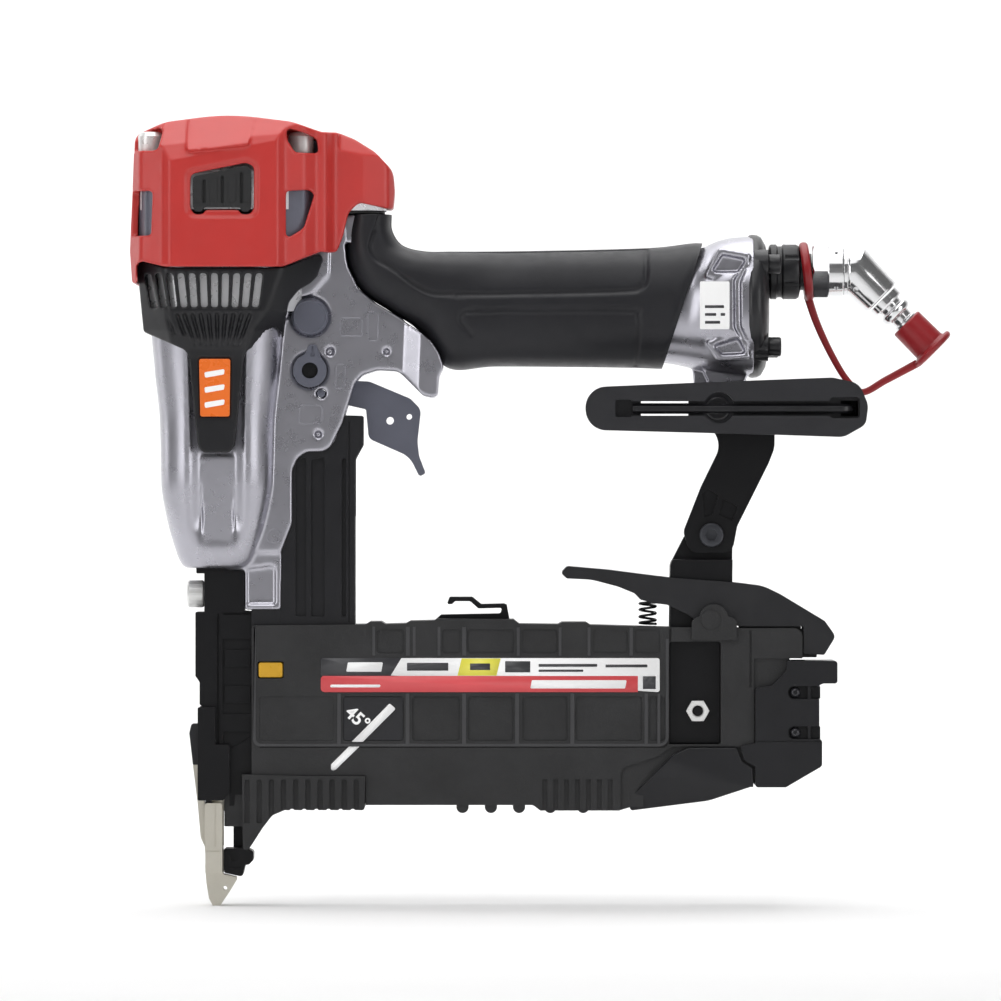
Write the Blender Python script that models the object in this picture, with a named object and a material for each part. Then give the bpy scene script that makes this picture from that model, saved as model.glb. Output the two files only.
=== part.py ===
"""Pneumatic flooring nailer: a compact high-pressure stapler with a sliding magazine drawer.

The model is built in millimetres and stored in metres. X runs from the nose towards the air plug,
Z is up along the driver, and Y is across the tool, with -Y the side that carries the hook.
Shapes are drawn from the driver axis; the origin is the tip of the contact foot, TIP_OFFSET ahead of it.
"""

import math

import bmesh
import bpy
from mathutils import Matrix, Vector

MM = 0.001
GAP = 0.3
TIP_OFFSET = 1.5

# Driving dimensions, in millimetres.
PISTON_R = 14.6
SLEEVE_IN_R = 15.0
SLEEVE_OUT_R = 17.0
SLEEVE_BOTTOM = 143.4
SLEEVE_TOP = 246.0
PISTON_BOTTOM = 234.0
BUMPER_TOP = 149.0
CASTING_TOP = 248.4
HOUSING_HALF = 12.0
HOOD_HALF = 32.0
HOOD_WALL = 2.4
MAGAZINE_HALF = 13.0
CHANNEL_HALF = 5.2
INLET_Z = 227.9
END_CAP_Z = 215.5
ELBOW_X = 229.0
LEG_DIRECTION = Vector((1.0, 0.0, -1.0)).normalized()
TRIGGER_PIVOT = (37.0, 184.0)
DIAL_CENTRE = (33.0, 192.2)
PLUG_CENTRE = (33.0, 211.5)
LATCH_PIVOT = (177.6, 103.1)
HOOK_BOLT = (179.2, 178.6)
STAY_BOLT = (177.1, 133.2)
MAGAZINE_BOLT = (172.1, 70.1)
VALVE_X = 48.0

X_AXIS = Vector((1, 0, 0))
Y_AXIS = Vector((0, 1, 0))
Z_AXIS = Vector((0, 0, 1))


# ---------------------------------------------------------------- scene and materials


def clear_scene():
    for obj in list(bpy.data.objects):
        bpy.data.objects.remove(obj, do_unlink=True)


def finish(name, colour, roughness, metallic):
    material = bpy.data.materials.new(name)
    material.use_nodes = True
    shader = material.node_tree.nodes["Principled BSDF"]
    shader.inputs["Base Color"].default_value = (*colour, 1.0)
    shader.inputs["Roughness"].default_value = roughness
    shader.inputs["Metallic"].default_value = metallic
    material.diffuse_color = (*colour, 1.0)
    return material


clear_scene()
CAST_GREY = finish("cast_grey", (0.30, 0.30, 0.33), 0.38, 0.8)
RED_PLASTIC = finish("red_plastic", (0.60, 0.05, 0.04), 0.4, 0.0)
BLACK_PLASTIC = finish("black_plastic", (0.035, 0.035, 0.037), 0.5, 0.0)
BLACK_STEEL = finish("black_steel", (0.03, 0.03, 0.032), 0.4, 0.5)
GREY_STEEL = finish("grey_steel", (0.16, 0.16, 0.18), 0.4, 0.7)
BLACK_RUBBER = finish("black_rubber", (0.025, 0.025, 0.027), 0.75, 0.0)
RED_RUBBER = finish("red_rubber", (0.45, 0.02, 0.02), 0.5, 0.0)
CHROME = finish("chrome", (0.85, 0.85, 0.86), 0.12, 1.0)
STEEL = finish("steel", (0.62, 0.61, 0.57), 0.3, 1.0)
ALUMINIUM = finish("aluminium", (0.62, 0.62, 0.63), 0.4, 0.9)
ORANGE_ENAMEL = finish("orange_enamel", (0.75, 0.2, 0.04), 0.35, 0.0)
YELLOW_PLASTIC = finish("yellow_plastic", (0.75, 0.52, 0.04), 0.45, 0.0)


# ---------------------------------------------------------------- shape helpers


def frame(point):
    """A point drawn in millimetres from the driver axis, in metres from the origin."""
    x, y, z = point
    return Vector(((x + TIP_OFFSET) * MM, y * MM, z * MM))


def stored(name, bm, material):
    """The bmesh, drawn in millimetres from the driver axis, as a scene object."""
    for vert in bm.verts:
        vert.co = frame(vert.co)
    bmesh.ops.remove_doubles(bm, verts=bm.verts, dist=1e-6)
    bmesh.ops.recalc_face_normals(bm, faces=bm.faces)
    mesh = bpy.data.meshes.new(name)
    bm.to_mesh(mesh)
    bm.free()
    mesh.shade_smooth()
    mesh.set_sharp_from_angle(angle=math.radians(35))
    obj = bpy.data.objects.new(name, mesh)
    bpy.context.scene.collection.objects.link(obj)
    if material:
        obj.data.materials.append(material)
    return obj


def fillet(points, steps=2):
    """Corners given as (a, b, radius) become arcs; corners given as (a, b) stay sharp."""
    made = []
    count = len(points)
    for i, corner in enumerate(points):
        here = Vector(corner[:2])
        radius = corner[2] if len(corner) > 2 else 0.0
        back = (Vector(points[i - 1][:2]) - here).normalized()
        ahead = (Vector(points[(i + 1) % count][:2]) - here).normalized()
        angle = back.angle(ahead)
        if radius <= 0 or angle > math.radians(175):
            made.append(here)
            continue
        reach = radius / math.tan(angle / 2)
        centre = here + (back + ahead).normalized() * (radius / math.sin(angle / 2))
        start = here + back * reach - centre
        sweep = start.angle_signed(here + ahead * reach - centre)
        for k in range(steps + 1):
            made.append(centre + Matrix.Rotation(-sweep * k / steps, 2) @ start)
    return [tuple(p) for p in made]


def prism(name, points, low, high, direction, material=None):
    """An outline extruded between two heights along direction "X", "Y" or "Z"."""
    place = {
        "X": lambda a, b, h: (h, a, b),
        "Y": lambda a, b, h: (a, h, b),
        "Z": lambda a, b, h: (a, b, h),
    }[direction]
    bm = bmesh.new()
    ring = [bm.verts.new(place(a, b, low)) for a, b in points]
    face = bm.faces.new(ring)
    raised = bmesh.ops.extrude_face_region(bm, geom=[face])["geom"]
    shift = Vector(place(0, 0, high)) - Vector(place(0, 0, low))
    bmesh.ops.translate(bm, vec=shift, verts=[g for g in raised if isinstance(g, bmesh.types.BMVert)])
    return stored(name, bm, material)


def plate(name, points, near, far, material=None, steps=2):
    """A side-view outline (x, z), extruded across the tool."""
    return prism(name, fillet(points, steps), near, far, "Y", material)


def box(name, low, high, material=None):
    (x0, y0, z0), (x1, y1, z1) = low, high
    return prism(name, [(x0, y0), (x1, y0), (x1, y1), (x0, y1)], z0, z1, "Z", material)


def turned(name, profile, at, direction, material=None, sides=24, start=0.0):
    """A profile of (radius, height) pairs turned about direction, with height 0 at the point at."""
    direction = Vector(direction).normalized()
    turn = direction.to_track_quat("Z", "Y").to_matrix()
    bm = bmesh.new()
    rings = []
    for radius, height in profile:
        if radius < 1e-6:
            rings.append([bm.verts.new(Vector(at) + turn @ Vector((0, 0, height)))])
            continue
        ring = []
        for k in range(sides):
            a = start + math.tau * k / sides
            local = Vector((radius * math.cos(a), radius * math.sin(a), height))
            ring.append(bm.verts.new(Vector(at) + turn @ local))
        rings.append(ring)
    closed = len(rings[0]) > 1 and len(rings[-1]) > 1
    pairs = list(zip(rings, rings[1:])) + ([(rings[-1], rings[0])] if closed else [])
    for lower, upper in pairs:
        for k in range(sides):
            n = (k + 1) % sides
            corners = [lower[k % len(lower)], lower[n % len(lower)], upper[n % len(upper)],
                upper[k % len(upper)]]
            bm.faces.new(list(dict.fromkeys(corners)))
    return stored(name, bm, material)


def rod(name, radius, start, end, material=None, sides=16, turn=0.0):
    """A solid round (or, with 6 sides, hexagonal) bar between two points."""
    start, end = Vector(start), Vector(end)
    profile = [(0, 0), (radius, 0), (radius, (end - start).length), (0, (end - start).length)]
    return turned(name, profile, start, end - start, material, sides, turn)


def loft(name, rings, material=None):
    """A closed body through rings of points with equal counts, capped at both ends."""
    bm = bmesh.new()
    made = [[bm.verts.new(p) for p in ring] for ring in rings]
    for lower, upper in zip(made, made[1:]):
        for k in range(len(lower)):
            n = (k + 1) % len(lower)
            bm.faces.new([lower[k], lower[n], upper[n], upper[k]])
    bm.faces.new(made[0])
    bm.faces.new(made[-1])
    return stored(name, bm, material)


def helper(obj):
    obj.hide_render = True
    obj.display_type = "WIRE"
    return obj


def boolean(target, operation, others):
    for other in others:
        modifier = target.modifiers.new(other.name, "BOOLEAN")
        modifier.operation = operation
        modifier.solver = "EXACT"
        modifier.object = helper(other)
    return target


def cut(target, *others):
    return boolean(target, "DIFFERENCE", others)


def fuse(target, *others):
    return boolean(target, "UNION", others)


def common(target, *others):
    return boolean(target, "INTERSECT", others)


def pivot(name, at, *pieces):
    """An empty on a joint's axis that carries the pieces that move about it."""
    empty = bpy.data.objects.new(name, None)
    empty.location = frame(at)
    bpy.context.scene.collection.objects.link(empty)
    for piece in pieces:
        piece.parent = empty
        piece.matrix_parent_inverse = Matrix.Translation(-empty.location)
    return empty


def spring(name, bottom, top, radius, wire, turns, material):
    """A coil spring along Z, as a poly curve with a round bevel."""
    steps = 8
    curve = bpy.data.curves.new(name, "CURVE")
    curve.dimensions = "3D"
    curve.bevel_depth = wire / 2 * MM
    curve.bevel_resolution = 0
    curve.use_fill_caps = True
    spline = curve.splines.new("POLY")
    total = steps * turns
    spline.points.add(total)
    for k in range(total + 1):
        angle = math.tau * k / steps
        x = bottom[0] + radius * math.cos(angle)
        y = bottom[1] + radius * math.sin(angle)
        z = bottom[2] + (top - bottom[2]) * k / total
        spline.points[k].co = (*frame((x, y, z)), 1.0)
    curve.materials.append(material)
    obj = bpy.data.objects.new(name, curve)
    bpy.context.scene.collection.objects.link(obj)
    return obj


# ---------------------------------------------------------------- outlines shared by several parts

JACKET = [
    (12.5, 121.6), (14.5, 124.0), (18.0, 136.2), (20.2, 148.0), (21.1, 165.0),
    (21.6, 176.0), (24.0, 203.0), (25.2, 215.0), (26.0, 232.0), (26.0, 240.0),
]

# Grip stations: the lower and upper edge of the rubber in side view, and its half width.
GRIP = [
    ((46.4, 248.0), (62.2, 248.0), 14.4),
    ((45.9, 240.0), (63.4, 241.0), 14.8),
    ((46.6, 230.0), (67.5, 236.6), 15.8),
    ((51.8, 220.7), (75.0, 235.4), 16.8),
    ((62.0, 213.6), (84.0, 235.2), 17.5),
    ((71.6, 207.1), (93.0, 235.2), 18.0),
    ((82.2, 193.2), (103.0, 235.3), 18.5),
    ((100.0, 193.9), (116.0, 235.6), 18.5),
    ((130.0, 193.7), (140.0, 236.1), 18.5),
    ((150.0, 193.3), (162.0, 237.4), 19.5),
    ((159.8, 193.0), (173.6, 238.3), 20.5),
]
GRIP_WALL = 3.2


def grip_section(lower, upper, half, inset, sides=16):
    """A rounded section between two edge points, drawn inwards by inset."""
    low, high = Vector((lower[0], 0, lower[1])), Vector((upper[0], 0, upper[1]))
    middle, up = (low + high) / 2, (high - low) / 2
    tall = up.length - inset
    wide = half - inset
    squareness = 0.72
    ring = []
    for k in range(sides):
        angle = math.tau * (k + 0.5) / sides
        c, s = math.cos(angle), math.sin(angle)
        a = math.copysign(abs(c) ** squareness, c) * tall
        b = math.copysign(abs(s) ** squareness, s) * wide
        ring.append(middle + up.normalized() * a + Vector((0, b, 0)))
    return ring


def grip_body(name, inset, first=0, last=None, lengthen=0.0, material=None):
    """A loft through the grip stations; lengthen runs it past both ends."""
    rings = [grip_section(*station, inset) for station in GRIP[first:last]]
    if lengthen:
        back = (sum(rings[0], Vector()) - sum(rings[1], Vector())).normalized() * lengthen
        ahead = (sum(rings[-1], Vector()) - sum(rings[-2], Vector())).normalized() * lengthen
        rings = [[p + back for p in rings[0]], *rings, [p + ahead for p in rings[-1]]]
    return loft(name, rings, material)


def hood_plan(inset):
    """Plan outline (x, y) of the red cover and what it covers, drawn inwards by inset."""
    front, back, half = -31.5 + inset, 63.5 - inset, HOOD_HALF - inset
    near = [(front, -17, 4), (-19, -half, 5), (23, -half, 5), (38 - inset, -18 + inset * 0.6, 4),
        (back, -13 + inset * 0.6, 4)]
    return fillet(near + [(x, -y, r) for x, y, r in reversed(near)], 2)


def hood_side(inset, bottom):
    """Side outline (x, z) of the cover's roof, drawn inwards by inset, above the given lower edge."""
    roof = [
        (63.4 - inset, 258.0), (63.0 - inset, 264.0 - inset, 2), (56.0, 270.6 - inset, 8),
        (44.0, 277.2 - inset, 5),
        (36.7, 277.6 - inset), (26.3, 280.8 - inset, 8), (4.0, 284.0 - inset, 60),
        (-19.0, 280.8 - inset, 20),
        (-29.8 + inset, 276.2 - inset, 3),
    ]
    return fillet(roof + bottom, 2)


def hood_front(inset):
    """Front outline (y, z) of the cover: upright sides that lean in to the roof."""
    half = HOOD_HALF - inset
    near = [(-half, 215.0), (-half, 262.0, 8), (-half + 7.5, 276.5 - inset, 4), (-half + 15, 290.0 - inset)]
    return fillet(near + [(-y, *rest) for y, *rest in reversed(near)], 2)


# ---------------------------------------------------------------- head and cylinder


def make_casting():
    casting = turned("body_casting", [(0, 121.6), *JACKET, (0, 240.0)], (0, 0, 0), Z_AXIS, CAST_GREY, 32)
    near = [(-28.3, -16.0, 4), (-17.0, -28.8, 5), (22.0, -28.8, 5), (35.6, -15.0, 3), (44.6, -11.5),
        (57.0, -11.5)]
    flange_plan = fillet(near + [(x, -y, *r) for x, y, *r in reversed(near)])
    flange = prism("casting_flange", flange_plan, 238.0, CASTING_TOP, "Z")
    housing = plate(
        "casting_housing",
        [
            (0, 127.2), (22.9, 127.2), (26.6, 137.4, 3), (26.6, 159.3, 3), (31.0, 163.0, 3),
            (39.6, 163.2, 3),
            (44.6, 173.4, 6), (49.4, 189.0, 4), (57.5, 192.4, 5), (64.7, 192.0, 5), (73.6, 183.6, 2),
            (77.4, 182.4, 1.5), (79.2, 183.5, 1), (80.6, 192.4), (70.6, 206.4), (61.0, 212.9),
            (50.6, 220.2),
            (45.6, 229.8), (45.0, 241.0), (45.2, 244.0), (0, 244.0),
        ],
        -HOUSING_HALF, HOUSING_HALF,
    )
    neck = box("casting_neck", (20.0, -11.5, 222.0), (57.0, 11.5, 246.0))
    core = grip_body("casting_core", GRIP_WALL + GAP, lengthen=4.0)
    trim = box("core_trim", (30.0, -30.0, CASTING_TOP), (80.0, 30.0, 262.0))
    flare = loft(
        "casting_flare",
        [
            flare_section(lean, x, tall, wide)
            for lean, x, tall, wide in ((7.1, 168.0, 21.4, 19.0), (5.0, 172.5, 22.8, 21.5),
                (2.0, 179.0, 24.2, 24.0), (0, 190.0, 25.0, 25.0))
        ],
    )
    stay_lug = plate("stay_lug", [(172.5, 171.5, 6), (187.0, 171.5, 6), (190.0, 196.0), (171.0, 196.0)],
        -3.0, 3.0)
    foot_lug = plate(
        "foot_lug",
        [(9.6, 106.4, 1), (21.3, 106.4, 1), (21.3, 125.0), (23.2, 130.0), (0.0, 130.0), (2.7, 120.7),
            (9.6, 120.7)],
        -8.5, 6.4,
    )
    fuse(casting, flange, housing, neck, core, flare, stay_lug, foot_lug)
    cut(
        casting,
        trim,
        turned(
            "cylinder_bore",
            [(0, 119.0), (8.0, 119.0), (8.0, 143.0), (SLEEVE_OUT_R + GAP, 143.0),
                (SLEEVE_OUT_R + GAP, 176.0),
             (19.0, 180.0), (19.0, 200.0), (22.0, 206.0), (22.0, 252.0), (0, 252.0)],
            (0, 0, 0), Z_AXIS, sides=32,
        ),
        grip_body("air_reservoir", GRIP_WALL + 4.2, first=4, lengthen=22.0),
        rod("air_passage", 9.0, (14, 0, 230), (84, 0, 222), sides=16),
        plate("trigger_slot", [(30.0, 173.0), (30.0, 191.4, 2), (66.0, 191.4), (66.0, 160.0),
            (36.0, 160.0)], -6.6, 6.6),
        rod("valve_bore", 5.0, (VALVE_X, 0, 188), (VALVE_X, 0, 219)),
        rod("trigger_pin_bore", 1.5 + GAP, (TRIGGER_PIVOT[0], -14, TRIGGER_PIVOT[1]),
            (TRIGGER_PIVOT[0], 14, TRIGGER_PIVOT[1]), sides=12),
        rod("dial_bore", 2.2 + GAP, (DIAL_CENTRE[0], -14, DIAL_CENTRE[1]),
            (DIAL_CENTRE[0], -4, DIAL_CENTRE[1]), sides=12),
        rod("hook_bolt_bore", 2.5 + GAP, (HOOK_BOLT[0], -6, HOOK_BOLT[1]), (HOOK_BOLT[0], 6, HOOK_BOLT[1]),
            sides=12),
        turned("inlet_pocket", [(0, 180.0), (17.0, 180.0), (17.0, 192.0), (0, 192.0)], (0, 0, END_CAP_Z),
            X_AXIS, sides=24),
    )
    for name, y, z in end_cap_bolt_places():
        cut(casting, rod(f"{name}_hole", 1.9 + GAP, (183.0, y, z), (192.0, y, z), sides=12))
    for name, x, y in cap_bolt_places():
        cut(casting, rod(f"{name}_hole", 2.4 + GAP, (x, y, 240.5), (x, y, 251.0), sides=12))
    return casting


def flare_section(lean, x, tall, wide, sides=20):
    """A round section of the grip's flared end, leaning with the end of the rubber."""
    ring = []
    for k in range(sides):
        angle = math.tau * (k + 0.5) / sides
        rise = tall * math.cos(angle)
        ring.append(Vector((x + lean * rise / tall, wide * math.sin(angle), END_CAP_Z + rise)))
    return ring


def end_cap_bolt_places():
    reach = 14.8
    corners = ((-reach, reach), (reach, reach), (reach, -reach), (-reach, -reach))
    return [(f"end_cap_bolt_{i}", y, END_CAP_Z + z) for i, (y, z) in enumerate(corners, 1)]


def cap_bolt_places():
    return [(f"cap_bolt_{i}", x, y) for i, (x, y) in enumerate(((-23.5, -15.5), (30.6, -15.5), (30.6, 15.5),
        (-23.5, 15.5)), 1)]


def socket_bolt(name, at, direction, head_r, head, shank_r, shank, socket_r, material):
    """A cap screw with a hexagon socket; at is under the head, and direction points out of the socket."""
    direction = Vector(direction)
    bolt = turned(
        name,
        [(0, -shank), (shank_r, -shank), (shank_r, 0), (head_r, 0), (head_r, head - 0.5),
            (head_r - 0.5, head), (0, head)],
        at, direction, material, 18,
    )
    top = Vector(at) + direction * head
    return cut(bolt, rod(f"{name}_socket", socket_r, top - direction * (head * 0.6), top + direction,
        sides=6))


def make_head():
    cap = prism("top_cap", hood_plan(3.2), CASTING_TOP + 1.2, 290.0, "Z", ALUMINIUM)
    common(cap, prism("cap_side", fillet([(-27.6, 249.0), (70, 249.0), (70, 254.0), (58, 259.0),
        (40, 264.0), (36, 268.2), (-27.6, 268.2)]), -40, 40, "Y"))
    common(cap, prism("cap_front", hood_front(HOOD_WALL + 0.8), -40, 70, "X"))
    cut(cap, turned("valve_chamber", [(0, 246.0), (21.2, 246.0), (21.2, 262.5), (0, 262.5)], (0, 0, 0),
        Z_AXIS, sides=28))
    cut(cap, rod("exhaust_port", 6.0, (0, -40, 257.0), (0, -18, 257.0), sides=16))
    for name, x, y in cap_bolt_places():
        cut(cap, rod(f"{name}_way", 2.4 + GAP, (x, y, 245.0), (x, y, 275.0), sides=12))
        socket_bolt(name, (x, y, 268.5), Z_AXIS, 3.9, 7.0, 2.4, 26.0, 2.3, STEEL)
    gasket = prism("cap_gasket", hood_plan(3.8), CASTING_TOP + GAP, CASTING_TOP + 0.9, "Z", BLACK_RUBBER)
    cut(gasket, rod("gasket_bore", 21.6, (0, 0, 245.0), (0, 0, 252.0), sides=28))
    for name, x, y in cap_bolt_places():
        cut(gasket, rod(f"{name}_gasket_hole", 2.4 + GAP, (x, y, 245.0), (x, y, 252.0), sides=12))
    return cap, gasket


def make_top_cover():
    lower_edge = [
        (-31.6, 262.0), (-31.6, 223.8, 1), (-28.6, 223.8, 1), (-28.6, 232.4, 1), (-18.4, 229.2, 2),
        (23.6, 229.2, 2), (33.8, 233.4, 1),
        (37.0, 234.7), (42.6, 234.7, 2), (45.2, 241.0), (47.2, 249.6, 2), (51.0, 252.0, 2),
        (62.8, 250.2, 1),
    ]
    cover = prism("top_cover", hood_plan(0), 215.0, 290.0, "Z", RED_PLASTIC)
    common(cover, plate("cover_side", hood_side(0, lower_edge), -40, 40, steps=1))
    common(cover, prism("cover_front", hood_front(0), -40, 70, "X"))
    hollow = prism("cover_hollow", hood_plan(HOOD_WALL), 210.0, 290.0, "Z")
    inner_edge = [(-31.6 + HOOD_WALL, 262.0), (-31.6 + HOOD_WALL, 205.0), (62.8 - HOOD_WALL, 205.0)]
    common(hollow, plate("hollow_side", hood_side(HOOD_WALL, inner_edge), -40, 40, steps=1))
    common(hollow, prism("hollow_front", hood_front(HOOD_WALL), -40, 70, "X"))
    cut(cover, hollow)
    windows = {
        "bolt_window_front": [(-40, 270.4), (-20.5, 270.4, 2), (-19.0, 279.4, 1), (-24, 279.4, 3),
            (-40, 275.5)],
        "bolt_window_rear": [(24.8, 279.4, 1), (24.8, 275.0, 2), (28.5, 270.2, 1), (36.4, 270.2, 1),
            (35.5, 275.0, 2), (31.0, 277.4, 2)],
        "side_window_front": [(-40, 256.1), (-22.9, 256.1, 1), (-23.4, 240.2, 1), (-28.9, 240.2),
            (-40, 240.2)],
        "side_window_rear": [(24.8, 256.0, 1), (33.4, 256.4, 1), (34.6, 254.6, 1), (31.0, 242.6, 1),
            (24.8, 239.2, 1)],
    }
    for name, points in windows.items():
        cut(cover, plate(name, points, -45, 45))
    centre = [(-9.1, 261.9, 2), (11.2, 265.7, 2), (13.4, 264.6, 1), (13.2, 247.8, 2), (8.0, 249.4, 1),
        (-4.0, 249.4, 1), (-9.1, 247.8, 2)]
    cut(cover, plate("louver_window", centre, -45, 0))
    louver = plate("exhaust_louver", [(-8.7, 261.5, 2), (11.0, 265.2, 2), (12.9, 264.0, 1), (12.8, 250.0),
        (8.3, 251.0), (-4.3, 251.0), (-8.7, 250.0)], -31.2, -29.2, BLACK_RUBBER)
    for x in (-4.0, 1.3, 6.6):
        fuse(louver, plate(f"fin_{x}", [(x - 0.9, 251.0), (x + 0.9, 251.0), (x + 0.9, 262.4 + x * 0.18),
            (x - 0.9, 262.2 + x * 0.18)], -32.6, -30.0))
    return cover


def make_front_grille():
    """The ribbed black collar under the cover, with a tongue down each side of the jacket."""
    levels = [(162.0, 23.9, -23.0, 23.0), (200.0, 25.0, -25.6, 24.0), (206.0, 26.6, -26.8, 25.0),
        (234.4, 29.2, -29.0, 38.4)]
    rings = []
    for z, half, front, back in levels:
        near = [(front, -half * 0.5, 3), (front + 11, -half, 4), (back - 14, -half, 4),
            (back, -half * 0.5, 3)]
        rings.append([(x, y, z) for x, y in fillet(near + [(x, -y, r) for x, y, r in reversed(near)], 2)])
    grille = loft("front_grille", rings, BLACK_PLASTIC)
    outline = [
        (-32.0, 228.6), (-30.0, 205.9, 1), (-26.0, 205.9), (-11.3, 199.4, 2), (-10.2, 196.5, 2),
        (-6.8, 164.8, 2), (-5.0, 162.6, 2), (4.6, 162.6, 2),
        (6.4, 164.8, 2), (9.8, 196.7, 2), (11.2, 199.4, 2), (21.5, 203.6, 1.5), (21.6, 210.5, 2),
        (22.9, 216.4, 3), (26.4, 220.6, 3),
        (33.0, 223.4, 3), (36.6, 227.0, 2), (37.4, 233.0), (36.0, 233.9), (33.8, 232.8), (23.6, 228.7),
        (-18.4, 228.7), (-27.9, 231.6),
    ]
    common(grille, plate("grille_outline", outline, -40, 40))
    inner = turned("grille_hollow", [(0, 150.0), *[(r + 0.5, z) for r, z in [(21.1, 150.0), *JACKET[4:]]],
        (0, 245.0)], (0, 0, 0), Z_AXIS, sides=36)
    cut(grille, inner, box("grille_back", (4.0, -12.4, 190.0), (60.0, 12.4, 240.0)))
    spacing, count, first = 4.05, 11, -24.0
    for i in range(count):
        x = first + spacing * i
        lean = (1.2 if i < 5 else -0.3) * (5 - i) / 5
        cut(grille, plate(f"grille_slot_{i}", [(x - 1.1, 226.0), (x + 1.1, 226.0),
            (x + 1.1 + lean * 1.4, 215.2), (x - 1.1 + lean * 1.4, 215.2)], -40, -5))
    return grille


def make_badge():
    """A plain enamelled plate on the near tongue of the grille, leaning with it."""
    plan = [(-5.6, 176.0, 1), (4.2, 176.0, 1), (4.6, 196.0, 1), (-6.0, 196.0, 1)]
    lean = (25.0 - 23.9) / (200.0 - 162.0)
    badge = plate("badge_plate", plan, -25.6, -24.4, ORANGE_ENAMEL)
    for vert in badge.data.vertices:
        vert.co.y -= lean * (vert.co.z - 176.0 * MM)


def make_cylinder():
    sleeve = turned(
        "cylinder_sleeve",
        [(SLEEVE_IN_R, SLEEVE_BOTTOM), (SLEEVE_OUT_R, SLEEVE_BOTTOM), (SLEEVE_OUT_R, SLEEVE_TOP),
            (SLEEVE_IN_R, SLEEVE_TOP)],
        (0, 0, 0), Z_AXIS, ALUMINIUM, 28,
    )
    turned("bumper", [(4.5, SLEEVE_BOTTOM + GAP), (14.6, SLEEVE_BOTTOM + GAP), (13.8, BUMPER_TOP),
        (6.0, BUMPER_TOP)], (0, 0, 0), Z_AXIS, BLACK_RUBBER, 24)
    piston = turned(
        "piston",
        [(0, PISTON_BOTTOM), (6.0, PISTON_BOTTOM), (PISTON_R, PISTON_BOTTOM + 2),
            (PISTON_R, PISTON_BOTTOM + 4.4), (13.6, PISTON_BOTTOM + 4.8),
         (13.6, PISTON_BOTTOM + 6.8), (PISTON_R, PISTON_BOTTOM + 7.2), (PISTON_R, PISTON_BOTTOM + 9.5),
         (0, PISTON_BOTTOM + 9.5)],
        (0, 0, 0), Z_AXIS, ALUMINIUM, 28,
    )
    blade = box("driver_blade", (-0.65, -1.95, 97.0), (0.65, 1.95, PISTON_BOTTOM - GAP), STEEL)
    pivot("piston_slide", (0, 0, PISTON_BOTTOM), piston, blade)
    head_valve = turned(
        "head_valve",
        [(0, 246.4), (18.6, 246.4), (18.6, 249.6), (20.8, 249.9), (20.8, 253.4), (9.0, 253.4), (9.0, 250.6),
            (0, 250.6)],
        (0, 0, 0), Z_AXIS, BLACK_RUBBER, 28,
    )
    pivot("head_valve_slide", (0, 0, 250), head_valve)
    spring("head_valve_spring", (0, 0, 254.4), 261.8, 13.0, 1.2, 3, STEEL)
    return sleeve


# ---------------------------------------------------------------- grip, trigger and controls


def make_grip():
    sleeve = grip_body("grip_sleeve", 0.0, material=BLACK_RUBBER)
    cut(sleeve, grip_body("sleeve_hollow", GRIP_WALL, lengthen=6.0))
    cut(sleeve, box("sleeve_neck", (30.0, -11.9, 221.6), (57.4, 11.9, 260.0)))
    return sleeve


def make_trigger():
    x, z = TRIGGER_PIVOT
    outline = [
        (33.5, 181.5, 3), (33.5, 188.5, 3), (44.0, 188.8), (54.2, 188.2, 3), (69.0, 182.1, 3),
        (72.6, 178.4, 3), (71.6, 167.0, 6),
        (74.3, 155.2, 0.8), (72.4, 154.2, 0.8), (68.2, 161.4, 5), (54.0, 167.6, 2), (53.0, 178.4, 1),
        (46.0, 180.0),
    ]
    trigger = plate("trigger", outline, -6.2, 6.2, GREY_STEEL)
    channel = [(30.0, 183.6), (46.0, 182.0), (55.0, 180.0, 2), (55.6, 169.0, 2), (69.2, 163.0, 4),
        (72.0, 159.0), (80.0, 159.0), (80.0, 195.0), (30.0, 195.0)]
    cut(
        trigger,
        plate("trigger_channel", channel, -4.6, 4.6),
        rod("trigger_pin_hole", 1.5 + GAP, (x, -9, z), (x, 9, z), sides=12),
        rod("trigger_hole_a", 1.4, (61.6, -9, 174.3), (61.6, 9, 174.3), sides=12),
        rod("trigger_hole_b", 1.0, (68.5, -9, 175.7), (68.5, 9, 175.7), sides=12),
    )
    pad = box("valve_pad", (VALVE_X - 3.0, -4.9, 184.0), (VALVE_X + 3.0, 4.9, 185.4))
    fuse(trigger, pad)
    pivot("trigger_pivot", (x, 0, z), trigger)
    rod("trigger_pin", 1.5, (x, -11.6, z), (x, 11.6, z), STEEL, 12)
    turned(
        "trigger_valve_body",
        [(2.0, 192.2), (4.7, 192.2), (4.7, 208.0), (2.0, 208.0)],
        (VALVE_X, 0, 0), Z_AXIS, BLACK_PLASTIC, 16,
    )
    stem = rod("valve_stem", 1.6, (VALVE_X, 0, 185.8), (VALVE_X, 0, 204.0), STEEL, 12)
    pivot("valve_stem_slide", (VALVE_X, 0, 186), stem)
    return trigger


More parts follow.
